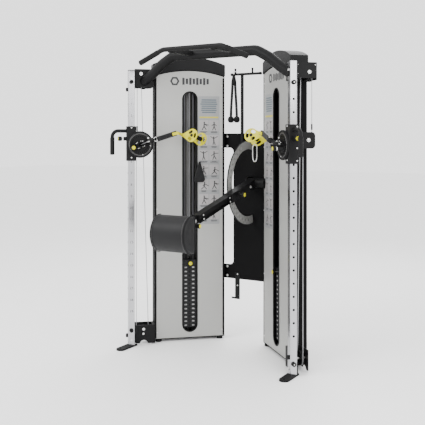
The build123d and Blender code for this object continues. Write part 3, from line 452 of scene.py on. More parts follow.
def pull_knob(name, body, matrix, radius, length, node, shaft_r, shaft_from):
    """Pull pin: steel shaft, ribbed black knob and a yellow cap. z points outward from the tip."""
    bm = bmesh.new()
    lathe([(0, shaft_from), (shaft_r * 0.7, shaft_from), (shaft_r, shaft_from + 0.002), (shaft_r, 0),
            (0, 0)], 24, None, bm)
    shaft = piece(name + "_shaft", bm, "zinc_steel", body, matrix)
    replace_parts(shaft, node)
    bm = bmesh.new()
    ribs = 20
    steps = ribs * 4
    profile = [(0.55, 0.0), (0.80, 0.06), (0.95, 0.18), (1.0, 0.35), (1.0, 0.70), (0.96, 0.84),
            (0.84, 0.90)]
    rings = []
    for share, height in profile:
        row = []
        for i in range(steps):
            t = 2 * math.pi * i / steps
            groove = 0.035 if i % 4 == 0 and 0.1 < height < 0.88 else 0.0
            r = radius * (share - groove)
            row.append(bm.verts.new((r * math.cos(t), r * math.sin(t), length * height)))
        rings.append(row)
    for low, high in zip(rings, rings[1:]):
        for i in range(steps):
            bm.faces.new((low[i], low[(i + 1) % steps], high[(i + 1) % steps], high[i]))
    bm.faces.new(rings[0][::-1])
    bm.faces.new(rings[-1])
    piece(name + "_knob", bm, "black_moulded", body, matrix)
    cap = [(0, length * 0.88), (radius * 0.82, length * 0.88), (radius * 0.83, length * 0.94),
           (radius * 0.74, length * 0.985), (radius * 0.5, length), (0, length)]
    piece(name + "_cap", lathe(cap, 40), "yellow_plastic", body, matrix)


# ---- CAD nodes keep their shapes and get better materials ------------------------------------
NODE_MATERIALS = {
    "front_shroud": ("silver_fleck", 0.0012), "tower_case": ("black_casing", 0.0015),
    "tower_frame": ("black_powder_coat", 0.0006), "column": ("column_chrome", 0.0),
    "top_bracket": ("black_powder_coat", 0.001), "head_plate": ("stack_plate_coat", 0.001),
    "floating_pulley": ("black_moulded", 0.0005), "lift_pulley": ("black_moulded", 0.0005),
    "bottom_pulley": ("black_moulded", 0.0005), "carriage_pulley": ("black_moulded", 0.0005),
    "carriage": ("black_powder_coat", 0.0008), "swivel_yoke": ("black_powder_coat", 0.0008),
    "handle_plates": ("yellow_plastic", 0.0022), "top_caps": ("black_moulded", 0.003),
    "bottom_brackets": ("black_powder_coat", 0.001), "guide_rods": ("dark_rod_steel", 0.0),
    "weight_plates": ("stack_plate_coat", 0.0015), "tower_top_pulleys": ("black_moulded", 0.0005),
    "fixed_cables": ("wire_cable", 0.0), "frame_bolts": ("zinc_steel", 0.0008),
    "column_feet": ("black_rubber", 0.002),
    "cross_tube": ("black_powder_coat", 0.0), "chin_bar": ("black_powder_coat", 0.0015),
    "back_panel": ("black_casing", 0.0008), "sector_plate": ("black_powder_coat", 0.0008),
    "pad_arm": ("black_powder_coat", 0.002), "pad_board": ("black_powder_coat", 0.001),
    "accessory_rack": ("black_powder_coat", 0.0008),
}


def dress_nodes():
    """Gives each kept CAD node its procedural material and a small rounded edge."""
    for name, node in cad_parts.items():
        kind = name.replace("left_", "").replace("right_", "")
        material, edge = NODE_MATERIALS.get(kind, ("black_powder_coat", 0.0))
        node.data.materials.clear()
        node.data.materials.append(MATERIALS[material])
        if edge:
            rounded = node.modifiers.new("edge", "BEVEL")
            rounded.width, rounded.segments, rounded.limit_method = edge, 2, "ANGLE"
            rounded.angle_limit = math.radians(40)


# ---- tower details ---------------------------------------------------------------------------
STANCES = (
    ((0.0, 0.0), (0.30, 0.55), (-0.30, 0.55), (0.20, 0.0), (-0.20, 0.0)),
    ((0.0, 0.0), (0.55, 0.80), (-0.35, 0.45), (0.28, 0.02), (-0.16, 0.0)),
    ((0.06, 0.0), (0.60, 0.62), (0.45, 0.50), (0.30, 0.05), (-0.22, 0.0)),
    ((-0.05, 0.0), (0.45, 1.05), (-0.45, 1.05), (0.14, 0.0), (-0.14, 0.0)),
    ((0.10, -0.12), (0.62, 0.40), (-0.10, 0.42), (0.36, 0.0), (-0.30, 0.0)),
)


def figure(into, matrix, stance, size):
    """A generic stick figure made of rounded limbs."""
    lean, hand_a, hand_b, foot_a, foot_b = stance
    hips = Vector((lean[0] * 0.5, 0.45 + lean[1]))
    neck = Vector((lean[0], 0.82 + lean[1]))
    limbs = [(hips, neck, 0.075), (neck - Vector((0, 0.05)), Vector(hand_a), 0.045),
             (neck - Vector((0, 0.05)), Vector(hand_b), 0.045), (hips, Vector(foot_a), 0.055),
             (hips, Vector(foot_b), 0.055)]
    for start, end, half in limbs:
        along = (end - start).normalized() * half
        across = Vector((-along.y, along.x))
        outline = [start + across - along * 0.4, start - across - along * 0.4, start - across * 0.9,
                   end - across * 0.8 + along * 0.3, end + along * 0.8, end + across * 0.8 + along * 0.3]
        slab([tuple(p * size) for p in outline], 0, 0.0003, into, matrix)
    head = [((neck.x + 0.085 * math.cos(t)) * size, (neck.y + 0.13 + 0.1 * math.sin(t)) * size)
            for t in (2 * math.pi * i / 14 for i in range(14))]
    slab(head, 0, 0.0003, into, matrix)


def placard(side, name):
    """Exercise chart beside the slot: film, header, accent bar and rows of generic figures."""
    low_u, high_u, top, rows, pitch = 0.026, 0.199, 1.945, 7, 0.118
    centre_u = (low_u + high_u) / 2
    chart_top = top - 0.185
    bottom = chart_top - rows * pitch - 0.012
    film, cells, ink, slate, accent = (bmesh.new() for _ in range(5))
    lift = 0.0004
    place = lambda u, z, out: face_frame(side, u, -out, z)
    slab(rounded_box(high_u - low_u, top - bottom, 0.006), 0, lift, film,
            place(centre_u, (top + bottom) / 2, 0))
    picker = random.Random(11)
    for line in range(7):
        width = 0.14 * picker.uniform(0.75, 1.0)
        slab(rounded_box(width, 0.0095, 0.002, 2), 0, lift, slate,
                place(centre_u, top - 0.03 - 0.0165 * line, lift))
    slab(rounded_box(0.155, 0.013, 0.003, 2), 0, lift, accent, place(centre_u, chart_top + 0.016, lift))
    for row in range(rows):
        z = chart_top - (row + 0.5) * pitch
        for column, u in enumerate((centre_u - 0.042, centre_u + 0.042)):
            slab(rounded_box(0.078, 0.084, 0.004, 2), 0, lift, cells, place(u, z + 0.010, lift))
            stance = STANCES[(row * 3 + column * 2 + (side > 0)) % len(STANCES)]
            figure(ink, place(u, z - 0.026, 2 * lift), stance, 0.063)
            for mark in range(2):
                width = 0.062 * picker.uniform(0.6, 1.0)
                slab(rounded_box(width, 0.0040, 0.001, 2), 0, lift, ink,
                        place(u, z - 0.040 - 0.0075 * mark, lift))
    for suffix, bm, material in (("film", film, "placard_film"), ("cells", cells, "placard_cell"),
                                 ("figures", ink, "placard_ink"), ("header", slate, "placard_slate"),
                                 ("accent", accent, "placard_yellow")):
        piece(name + "_placard_" + suffix, bm, material, "frame", smooth=False)


def emblem(side, name):
    """A plain mark above the slot: a hollow hexagon and a row of upright bars."""
    bm = bmesh.new()
    z, lift = 2.062, 0.0005
    for i in range(8):
        height = 0.044 if i % 2 else 0.056
        slab(rounded_box(0.019, height, 0.002, 2), 0, lift, bm,
                face_frame(side, SLOT_U + side * (0.028 * i - 0.052), 0, z))
    place = face_frame(side, SLOT_U - side * 0.122, 0, z)
    rings = [[bm.verts.new(place @ Vector((x, y, h))) for x, y in arc((0, 0), radius, 0, 360, 6)[:-1]]
             for radius, h in ((0.038, 0), (0.038, lift), (0.022, lift), (0.022, 0))]
    for low, high in zip(rings, rings[1:] + rings[:1]):
        for i in range(6):
            bm.faces.new((low[i], low[(i + 1) % 6], high[(i + 1) % 6], high[i]))
    bmesh.ops.recalc_face_normals(bm, faces=bm.faces)
    piece(name + "_emblem", bm, "placard_ink", "frame", smooth=False)


def stack_details(side, name):
    """Grey liner behind the rods, plate labels with numbers, and the head block's bright bushes."""
    place = tower(side)
    liner = slab(rounded_box(0.38, 1.96, 0.01), 0, 0.001)
    piece(name + "_stack_liner", liner, "stack_liner", "frame",
          place @ axes((SLOT_U, 0.118, 1.02), (1, 0, 0), (0, -1, 0)), smooth=False)
    labels, digits = bmesh.new(), bmesh.new()
    for i in range(PLATE_COUNT):
        z = PLATE_FIRST + i * PLATE_PITCH + PLATE_THICK / 2
        for offset in (-0.030, 0.030):
            u = SLOT_U + side * offset
            slab(rounded_box(0.022, 0.012, 0.002, 2), 0, 0.0005, labels,
                    face_frame(side, u, PLATE_FRONT, z))
        weight = str(10 * (PLATE_COUNT + 1 - i))
        for offset in (-0.030, 0.030):
            spot = face_frame(side, SLOT_U + side * offset, PLATE_FRONT - 0.0005, z)
            number_mesh(weight, 0.0105, spot, digits)
    piece(name + "_plate_labels", labels, "stamped_grey", "frame", smooth=False)
    piece(name + "_plate_numbers", digits, "label_white", "frame", smooth=False)
    bushes = bmesh.new()
    for s in (-1, 1):
        spot = place @ Matrix.Translation((SLOT_U + s * 0.036, 0.062, 0.700))
        lathe([(0.0126, -0.004), (0.016, -0.004), (0.016, 0.003), (0.0126, 0.003), (0.0126, -0.004)], 28,
                spot, bushes)
    piece(name + "_rod_bushes", bushes, "label_white", name + "_stack")


def shroud_screws(side, name):
    """Screws down both rims of the shroud, and on the top cap's front."""
    bm = bmesh.new()
    for u in (0.006, 0.529):
        for z in (0.075, 0.56, 1.05, 1.54, 2.03):
            button_bolt(bm, face_frame(side, u, 0, z), 0.0055)
    piece(name + "_shroud_screws", bm, "zinc_steel", "frame")


def shroud_trim(side, name):
    """Black edging clipped over both long edges of the silver shroud."""
    bm = bmesh.new()
    for u in (-0.0035, 0.5385):
        slab(rounded_box(0.009, 2.06, 0.002, 2), 0, 0.0016, bm, face_frame(side, u, 0.0, 1.060))
    piece(name + "_shroud_trim", bm, "black_casing", "frame", smooth=False)


def column_numbers(side, name):
    """Index numbers on the column's front face, one at each hole."""
    bm = bmesh.new()
    front = COLUMN_V - COLUMN_HALF
    for i in range(HOLE_COUNT):
        z = HOLE_FIRST + i * HOLE_PITCH
        number_mesh(str(HOLE_COUNT - i), 0.026, face_frame(side, COLUMN_U, front, z), bm)
        bar = face_frame(side, COLUMN_U + 0.0175 * side, front, z)
        slab(rounded_box(0.007, 0.0015, 0.0004, 1), 0, 0.0003, bm, bar)
    piece(name + "_column_numbers", bm, "placard_ink", "frame", smooth=False)


def column_hardware(side, name):
    """Bumpers, bright bracket screws, a near-black block inside the column and near-black hole walls, both
    painted shade.
    """
    place = tower(side)
    steel, rubber = bmesh.new(), bmesh.new()
    bumper = [(0.0145, 0.0), (0.0155, 0.003), (0.0155, 0.012), (0.012, 0.0155), (0.005, 0.0155),
            (0.004, 0.013), (0, 0.013)]
    outer = COLUMN_U + COLUMN_HALF
    for z in (1.985, 0.084):
        spot = place @ facing((outer, COLUMN_V, z), (1, 0, 0))
        lathe(bumper, 28, spot, rubber)
    front = COLUMN_V - COLUMN_HALF
    for z in (2.043, 0.126):
        lathe(bumper, 28, place @ facing((COLUMN_U, front, z), (0, -1, 0)), rubber)
    hex_bolt(steel, place @ facing((0.660, -0.038, 2.112), (0, -1, 0)), 0.0095)
    hex_bolt(steel, place @ facing((0.711, 0.075, 2.063), (1, 0, 0)), 0.0095)
    for v, z in ((-0.012, 2.050), (-0.012, 2.112), (0.118, 2.112)):
        button_bolt(steel, place @ facing((0.711, v, z), (1, 0, 0)), 0.005)
    hex_bolt(steel, place @ facing((0.640, -0.038, 0.118), (0, -1, 0)), 0.008)
    piece(name + "_bracket_bolts", steel, "zinc_steel", "frame")
    piece(name + "_column_bumpers", rubber, "black_rubber", "frame")
    # A near-black block inside the column stands in for the shade seen through its holes: painted shade.
    painted_shade_core = slab(rounded_box(0.026, 0.026, 0.002), 0.05, 2.08)
    piece(name + "_column_core", painted_shade_core, "dark_liner", "frame",
            place @ Matrix.Translation((COLUMN_U, COLUMN_V, 0)))
    # Near-black hole walls and lips round each hole stand in for the shade inside the holes: painted shade.
    rims = bmesh.new()
    for i in range(HOLE_COUNT):
        spot = place @ facing((outer, COLUMN_V, HOLE_FIRST + i * HOLE_PITCH), (1, 0, 0))
        lathe([(0.0063, -0.004), (0.0063, 0.0003), (0.0078, 0.0004), (0.0082, 0.0), (0.0082, -0.0005)],
                24, spot, rims)
    piece(name + "_hole_rims", rims, "dark_liner", "frame")


# ---- cables ----------------------------------------------------------------------------------
def straight(start, end, steps):
    start, end = Vector(start), Vector(end)
    return [start.lerp(end, i / steps) for i in range(steps + 1)]


def cable_runs(side, name):
    """Runs that lengthen and shorten between the two bodies they join: drawn whole and left on no body, except
    the wrap under the floating pulley.
    """
    place = tower(side)
    up = place @ Vector((SWIVEL_U, BACK_PLANE, 0))
    bm = sweep(straight((up.x, up.y, CARRIAGE_Z), (up.x, up.y, LIFT_Z), 24), ring_section(CABLE_R, 10))
    run = piece(name + "_upper_run", bm, "wire_cable", None)
    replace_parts(run, name + "_upper_cable")
    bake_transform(run)
    low = place @ Vector((0.690, FRONT_PLANE, 0))
    top = SWIVEL_Z - 0.020
    bm = sweep(straight((low.x, low.y, LOW_Z), (low.x, low.y, top), 60), ring_section(CABLE_R, 10))
    run = piece(name + "_lower_run", bm, "wire_cable", None)
    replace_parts(run, name + "_lower_cable")
    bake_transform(run)
    for index, v in enumerate((BACK_PLANE, FRONT_PLANE)):
        foot = place @ Vector((SLOT_U, v, 0))
        bm = sweep(straight((foot.x, foot.y, FLOAT_Z), (foot.x, foot.y, TOWER_Z), 50),
                ring_section(CABLE_R, 10))
        run = piece(f"{name}_stack_run_{index}", bm, "wire_cable", None)
        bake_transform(run)
        if index == 0:
            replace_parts(run, name + "_stack_cables")
    wrap = [(SLOT_U, y, z) for y, z in arc(((BACK_PLANE + FRONT_PLANE) / 2, FLOAT_Z), FLOAT_R, 180, 180,
            20)]
    piece(name + "_stack_wrap", sweep(wrap, ring_section(CABLE_R, 10)), "wire_cable", name + "_stack",
            place)


def carriage_cable(side, name):
    """Cable from the carriage pulley through the hollow hub and out over the swivel pulley."""
    place = tower(side)
    points = [(SWIVEL_U, y, z) for y, z in arc((CARRIAGE_V, CARRIAGE_Z), SMALL_R, 0, -90, 12)]
    points += [(SWIVEL_U, v, SWIVEL_Z) for v in (0.03, -0.02, -0.07, -0.108)]
    piece(name + "_hub_cable", sweep(points, ring_section(CABLE_R, 10)), "wire_cable", name + "_carriage",
            place)
    radius = 0.0246
    points = [(0, -0.108, 0), (0, -0.120, 0)]
    points += [(x, y, 0) for x, y in arc((radius, CABLE_OUT_V + radius), radius, 180, 90, 12)]
    points += [(0.035, CABLE_OUT_V, 0), (CHAIN_X - 0.001, CABLE_OUT_V, 0)]
    piece(name + "_swivel_cable", sweep(points, ring_section(CABLE_R, 10)), "wire_cable",
            name + "_swivel_yoke",
          place @ SWIVEL)


# ---- carriage and handles --------------------------------------------------------------------
def carriage_details(side, name):
    """Rubber rim, ring lines and bright screws of the index disc, a near-black sheet behind the disc as painted
    shade, cable ferrule, rubber hand grip and sleeve collars.
    """
    place, body = tower(side), name + "_carriage"
    disc = place @ facing((SWIVEL_U, DISC_FRONT, SWIVEL_Z), (0, -1, 0))
    rim = lathe([(DISC_R - 0.010, -0.0005), (DISC_R - 0.009, 0.0022), (DISC_R + 0.0012, 0.0022),
            (DISC_R + 0.0022, 0.0),
                 (DISC_R + 0.0022, -0.011), (DISC_R + 0.0005, -0.0125), (DISC_R - 0.001, -0.0125)], 72)
    piece(name + "_disc_rim", rim, "black_rubber", body, disc)
    line = lathe([(DISC_R - 0.0122, -0.0003), (DISC_R - 0.0120, 0.0010), (DISC_R - 0.0104, 0.0010),
            (DISC_R - 0.0102, -0.0003)], 72)
    piece(name + "_disc_line", line, "dark_rod_steel", body, disc)
    # A near-black sheet just behind the index disc darkens what shows through it: painted shade.
    painted_shade_sheet = lathe([(0.026, 0.0), (DISC_R - 0.004, 0.0), (DISC_R - 0.004, 0.0008), (0.026, 0.0008)], 60)
    piece(name + "_disc_backing", painted_shade_sheet, "dark_liner", body,
            place @ facing((SWIVEL_U, DISC_BACK + 0.0012, SWIVEL_Z), (0, -1, 0)))
    ferrule = lathe([(CABLE_R, 0.0), (0.0052, 0.001), (0.0056, 0.006), (0.0056, 0.038), (0.0045, 0.042),
            (CABLE_R, 0.043)], 24)
    piece(name + "_cable_ferrule", ferrule, "black_moulded", body,
            place @ Matrix.Translation((SWIVEL_U, BACK_PLANE, 1.664)))
    ring = bmesh.new()
    groove = [(DISC_R - 0.020, 0), (DISC_R - 0.019, 0.0008), (DISC_R - 0.0175, 0.0008),
            (DISC_R - 0.0165, 0)]
    lathe(groove, 72, None, ring)
    piece(name + "_disc_scale", ring, "stack_liner", body, disc)
    steel = bmesh.new()
    for turn, radius, size in ((38, 0.080, 0.0075), (-6, 0.080, 0.005), (-75, 0.080, 0.004)):
        x, z = -radius * math.cos(math.radians(turn)), radius * math.sin(math.radians(turn))
        button_bolt(steel, place @ facing((SWIVEL_U + x, DISC_FRONT, SWIVEL_Z + z), (0, -1, 0)), size)
    outer = COLUMN_U + SLEEVE_HALF
    for z in (1.455, 1.540, 1.685):
        button_bolt(steel, place @ facing((outer, COLUMN_V + 0.020, z), (1, 0, 0)), 0.006)
        button_bolt(steel, place @ facing((COLUMN_U, COLUMN_V - SLEEVE_HALF, z + 0.004), (0, -1, 0)), 0.006)
    for s, u in ((-1, 0.652), (1, 0.702)):
        hex_bolt(steel, place @ facing((u, CARRIAGE_V, CARRIAGE_Z), (s, 0, 0)), 0.010)
    piece(name + "_carriage_screws", steel, "zinc_steel", body)
    grip = bmesh.new()
    profile = [(0.0142, 0.0), (0.0172, 0.0), (0.0176, 0.003)]
    for i in range(12):
        z = 0.008 + i * 0.0098
        profile += [(0.0168, z), (0.0175, z + 0.0025), (0.0175, z + 0.0065), (0.0168, z + 0.009)]
    profile += [(0.0176, 0.127), (0.0172, 0.130), (0.0142, 0.130)]
    lathe(profile, 40, None, grip)
    lathe([(0, 0.0005), (0.0135, 0.0005), (0.0140, -0.002), (0.009, -0.0035), (0, -0.0035)], 32, None, grip)
    piece(name + "_lift_grip", grip, "black_rubber", body,
            place @ Matrix.Translation((0.885, COLUMN_V, 1.484)))
    seals = bmesh.new()
    for z in (1.437, 1.698):
        outline = rounded_box(0.0745, 0.0745, 0.007)
        slab(outline, -0.003, 0.003, seals, place @ Matrix.Translation((COLUMN_U, COLUMN_V, z)))
    piece(name + "_sleeve_rims", seals, "black_moulded", body, bevel=0.001)


def swivel_details(side, name):
    """Pulley axle bolts, cap screws and collar ring of the swivel head."""
    place, body = tower(side) @ SWIVEL, name + "_swivel_yoke"
    steel = bmesh.new()
    for s in (-1, 1):
        for x in (-0.0246, 0.0246):
            hex_bolt(steel, place @ facing((x, CABLE_OUT_V + 0.022, s * 0.0175), (0, 0, s)), 0.006, 0.004)
    for turn in (60, 120, 240, 300):
        x, z = 0.027 * math.cos(math.radians(turn)), 0.027 * math.sin(math.radians(turn))
        button_bolt(steel, place @ facing((x, -0.1295, z), (0, -1, 0)), 0.0035)
    piece(name + "_swivel_bolts", steel, "zinc_steel", body)
    collar = place @ facing((-INDEX_R, -0.178, 0), (0, -1, 0))
    ring = lathe([(0.0065, -0.006), (0.0150, -0.006), (0.0158, -0.003), (0.0150, 0.0), (0.0065, 0.0)], 32)
    piece(name + "_swivel_collar", ring, "zinc_steel", body, collar)


def handle_details(side, name):
    """Cable stop, steel ring, webbing fork with stitching, and the ribbed grip between the end plates."""
    place, body = tower(side) @ HANDLE, name + "_handle"
    near, far, strap_end = Vector((0.342, -0.038, 0.057)), Vector((0.415, 0.038, 0.112)), Vector((0.245,
            0, 0.008))
    grip_dir = (far - near).normalized()
    length = (far - near).length
    profile = [(0.006, 0.003), (0.0150, 0.003), (0.0172, 0.006)]
    for i in range(14):
        z = 0.010 + i * (length - 0.020) / 14
        profile += [(0.0155, z), (0.0167, z + 0.0018), (0.0167, z + 0.0048), (0.0155, z + 0.0068)]
    profile += [(0.0172, length - 0.006), (0.0150, length - 0.003), (0.006, length - 0.003)]
    grip = piece(name + "_hand_grip", lathe(profile, 36), "black_rubber", body,
            place @ facing(near, grip_dir))
    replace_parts(grip, name + "_handle_grip")
    hubs = bmesh.new()
    for hub, s in ((near, -1), (far, 1)):
        lathe([(0.0, 0.0095), (0.0095, 0.0095), (0.0115, 0.0082), (0.0120, 0.004), (0, 0.004)], 28,
              place @ facing(hub, grip_dir * s), hubs)
    piece(name + "_hub_caps", hubs, "black_moulded", body)
    stop = [(0.0, 0.024), (0.0045, 0.024), (0.010, 0.026), (0.0165, 0.031), (0.0198, 0.038),
            (0.0198, 0.048),
            (0.0165, 0.055), (0.010, 0.0585), (0.0045, 0.059), (0.0, 0.059)]
    piece(name + "_cable_stop", lathe(stop, 36), "black_rubber", body,
            place @ facing((0, 0, 0), (1, 0, 0)))
    steel = bmesh.new()
    sweep(straight((0.0015, 0, 0), (0.027, 0, 0), 4), ring_section(CABLE_R, 10), steel)
    lathe([(0.0034, 0.010), (0.0046, 0.011), (0.0046, 0.022), (0.0034, 0.023)], 20,
            facing((0, 0, 0), (1, 0, 0)), steel)
    loop = [(0.073 + x, 0, y) for x, y in arc((0, 0), 0.016, 0, 360, 28)[:-1]]
    sweep(loop, ring_section(0.0028, 10), steel, closed=True)
    piece(name + "_steel_ring", steel, "zinc_steel", body, place)
    strap = bmesh.new()
    path = [Vector((0.240, 0.0045, 0.004))]
    for i in range(15):
        path.append(Vector((0.240 - 0.152 * i / 14, 0.0045 - 0.0025 * math.sin(math.pi * i / 14), 0.004)))
    path += [Vector((0.0840, 0.002, 0.004)), Vector((0.0835, -0.002, 0.004))]
    for i in range(15):
        path.append(Vector((0.088 + 0.152 * i / 14, -0.0045 + 0.0025 * math.sin(math.pi * i / 14), 0.004)))
    sweep(path[1:], flat_section(0.038, 0.0026), strap, across=(0, 0, 1))
    piece(name + "_webbing", strap, "black_webbing", body, place)
    fork = bmesh.new()
    for hub, s in ((near, -1), (far, 1)):
        reach = strap_end - hub
        flat = (reach - grip_dir * reach.dot(grip_dir)).normalized()
        slot_spot = hub + flat * 0.080
        out = grip_dir * (0.0062 * s)
        start = Vector((0.205, 0.0075 * s, 0.004))
        leg = [start, start + Vector((0.030, 0.001 * s, 0.002)),
                strap_end + Vector((0.012, 0.010 * s, 0.004)),
               slot_spot + flat * 0.022 + out * 1.1, slot_spot + flat * 0.004 + out,
                       slot_spot - flat * 0.005 + out * 0.6]
        sweep(curve_points(leg, 6), flat_section(0.023, 0.0024), fork, across=(0, 0, 1))
    piece(name + "_fork_strap", fork, "yellow_plastic", body, place)
    stitches = bmesh.new()
    for z in (-0.0115, 0.0195):
        for s in (-1, 1):
            for i in range(22):
                x = 0.094 + 0.0064 * i
                y = s * (0.0062 - 0.0025 * math.sin(math.pi * (x - 0.088) / 0.152))
                sweep([(x, y, z), (x + 0.0042, y, z)], ring_section(0.0006, 5), stitches)
    for x in (0.098, 0.212, 0.232):
        for z in [-0.009 + 0.004 * i for i in range(7)]:
            for s in (-1, 1):
                sweep([(x, s * 0.0063, z), (x, s * 0.0063, z + 0.0026)], ring_section(0.0005, 5), stitches)
    piece(name + "_stitching", stitches, "grey_thread", body, place)


def snap_hook():
    """A chrome snap hook hanging by its eye from the right handle's outer plate."""
    place = tower(1)
    u, v, top = 0.258, -0.165, 1.566
    steel = bmesh.new()
    body = [(0, -0.004, -0.004), (0, -0.0155, -0.022), (0, -0.0165, -0.060), (0, -0.0150, -0.105),
            (0, -0.006, -0.128),
            (0, 0.006, -0.128), (0, 0.0150, -0.108), (0, 0.0165, -0.080)]
    sweep(curve_points([Vector((u, v, top)) + Vector(p) for p in body], 6), ring_section(0.0034, 12), steel)
    nose = [(0, -0.004, -0.004), (0, 0.006, -0.004), (0, 0.0155, -0.018), (0, 0.0165, -0.034)]
    sweep(curve_points([Vector((u, v, top)) + Vector(p) for p in nose], 6), ring_section(0.0034, 12), steel)
    sweep([(u, v + 0.0165, top - 0.030), (u, v + 0.0165, top - 0.082)], ring_section(0.0026, 12), steel)
    hinge = place @ facing((u - 0.0045, v + 0.0165, top - 0.080), (1, 0, 0))
    piece("snap_hook", steel, "zinc_steel", "right_handle", place)
    piece("snap_hook_hinge", lathe([(0, 0), (0.0028, 0.0), (0.0032, 0.001), (0.0032, 0.008), (0, 0.009)],
            20), "zinc_steel",
          "right_handle", hinge)


def strap_handle():
    """The spare strap handle in front of the left tower: folded webbing, stitching and a foot."""
    place = tower(-1)
    band, v, edge = bmesh.new(), -0.0150, 0.0062
    half_outline = [(0.0055, 1.4235), (0.0245, 1.352), (0.0435, 1.283), (0.0375, 1.268), (0.029, 1.2595)]
    outline = [(-x, z) for x, z in half_outline] + half_outline[::-1]
    for low, high in ((-0.0062, -0.0008), (0.0004, 0.0060)):
        slab(outline[::-1], low, high, band, facing((0.191, v, 0), (0, -1, 0)))
    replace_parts(piece("strap_handle_webbing", band, "black_webbing", "frame", place, 0.0012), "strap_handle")
    foot = lathe([(0, -0.030), (0.004, -0.030), (0.0058, -0.028), (0.0062, -0.024), (0.0062, 0.024),
            (0.0058, 0.028),
                  (0.004, 0.030), (0, 0.030)], 24)
    piece("strap_handle_foot", foot, "black_rubber", "frame",
            place @ facing((0.191, v, 1.2655), (1, 0, 0)))
    thread = bmesh.new()
    for s in (-1, 1):
        for i in range(18):
            z = 1.295 + 0.0068 * i
            u = 0.191 + s * (0.045 - 0.0395 * (z - 1.281) / 0.1425)
            sweep([(u - s * 0.0019, v - edge, z), (u - s * 0.0019, v - edge, z + 0.004)],
                    ring_section(0.0004, 5), thread)
    piece("strap_handle_stitching", thread, "grey_thread", "frame", place)


def curve_points(points, steps):
    """Points on a smooth Catmull-Rom curve through the given ones."""
    points = [Vector(p) for p in points]
    out = []
    for i in range(len(points) - 1):
        a, b = points[max(i - 1, 0)], points[i]
        c, d = points[i + 1], points[min(i + 2, len(points) - 1)]
        for k in range(steps):
            t = k / steps
            out.append(0.5 * ((2 * b) + (c - a) * t + (2 * a - 5 * b + 4 * c - d) * t * t
                              + (3 * b - a - 3 * c + d) * t ** 3))
    return out + [points[-1]]


# ---- overhead --------------------------------------------------------------------------------
def bar_grips():
    """Rubber sleeves, end caps and weld beads of the chin bar and cross tube."""
    rubber, welds, plates = bmesh.new(), bmesh.new(), bmesh.new()
    for s in (-1, 1):
        start, end = Vector((s * 0.285, BAR_Y, 2.228)), Vector((s * 0.445, BAR_Y, 2.160))
        along = (end - start).normalized()
        length = (end - start).length
        profile = [(0.0176, 0.0), (0.0192, 0.0), (0.0196, 0.002)]
        count = 22
        for i in range(count):
            z = 0.006 + i * (length - 0.014) / count
            pitch = (length - 0.014) / count
            profile += [(0.0188, z), (0.0196, z + 0.3 * pitch), (0.0196, z + 0.75 * pitch),
                    (0.0188, z + pitch)]
        profile += [(0.0196, length - 0.002), (0.0185, length + 0.002), (0.012, length + 0.0045),
                (0, length + 0.005)]
        lathe(profile, 32, facing(start, along), rubber)
        centre = Vector((s * 0.180, 0, 0))
        for y, radius, depth in ((BAR_Y, BAR_R, 0.018), (TUBE_Y, TUBE_R, -0.0335)):
            loop = [centre + Vector((x, y + depth, BAR_Z - 0.005 + z)) for x,
                    z in rounded_box(0.041, 0.037, 0.002, 2)]
            sweep(loop, ring_section(0.0026, 8), welds, closed=True)
    for s in (-1, 1):
        hex_bolt(plates, facing((s * 0.180, BAR_Y + 0.12, 2.2585), (0, 0, 1)), 0.007)
        hex_bolt(plates, facing((s * 0.180, BAR_Y + 0.20, 2.2585), (0, 0, 1)), 0.007)
    piece("chin_bar_sleeves", rubber, "black_rubber", "frame")
    piece("overhead_welds", welds, "black_powder_coat", "frame")
    piece("chin_bar_bolts", plates, "zinc_steel", "frame")


# ---- middle assembly -------------------------------------------------------------------------
def ring_band():
    """Silver scale face on the black ring band, with ticks, hole rims and numbers."""
    half = math.degrees(math.acos(-(PANEL_Y - 0.001 - PIVOT.y) / SECTOR_MID))
    steps = 72
    face, marks, rims = bmesh.new(), bmesh.new(), bmesh.new()
    plane = axes((SECTOR_X + 0.005, PIVOT.y, PIVOT.z), (0, 1, 0), (1, 0, 0))
    back_plane = axes((SECTOR_X - 0.005, PIVOT.y, PIVOT.z), (0, -1, 0), (-1, 0, 0))
    for spot, flip in ((plane, 1), (back_plane, -1)):
        outer, inner = [], []
        for i in range(steps + 1):
            t = math.radians(180 - half + 2 * half * i / steps)
            c, s = flip * math.cos(t), math.sin(t)
            outer.append(((SECTOR_OUT - 0.001) * c, (SECTOR_OUT - 0.001) * s))
            inner.append(((SECTOR_IN + 0.001) * c, (SECTOR_IN + 0.001) * s))
        for i in range(steps):
            quad = [outer[i], outer[i + 1], inner[i + 1], inner[i]]
            slab(quad if flip > 0 else quad[::-1], 0, 0.0006, face, spot)
    bmesh.ops.remove_doubles(face, verts=face.verts, dist=1e-6)
    for step in range(-8, 9):
        t = math.radians(180 + 14.2 + 10 * step)
        spot = plane @ Matrix.Rotation(t, 4, "Z") @ Matrix.Translation((SECTOR_MID, 0, 0.0006))
        lathe([(0.0068, 0), (0.0092, 0), (0.0092, 0.0008), (0.0068, 0.0008)], 24, spot, rims)
        for radius, width, long in ((SECTOR_OUT - 0.010, 0.0022, 0.014),
                (SECTOR_IN + 0.008, 0.0022, 0.010)):
            tick = plane @ Matrix.Rotation(t, 4, "Z") @ Matrix.Translation((radius, 0, 0.0006))
            slab([(-long / 2, -width / 2), (long / 2, -width / 2), (long / 2, width / 2),
                    (-long / 2, width / 2)],
                 0, 0.0004, marks, tick)
        between = plane @ Matrix.Rotation(t + math.radians(5), 4,
                "Z") @ Matrix.Translation((SECTOR_MID, 0, 0.0006))
        if step < 8:
            number_mesh(str(step + 9), 0.022, between @ Matrix.Rotation(math.radians(90), 4, "Z"), marks)
    piece("ring_band_face", face, "silver_fleck", "frame", smooth=False)
    piece("ring_band_marks", marks, "placard_ink", "frame", smooth=False)
    piece("ring_band_hole_rims", rims, "zinc_steel", "frame")


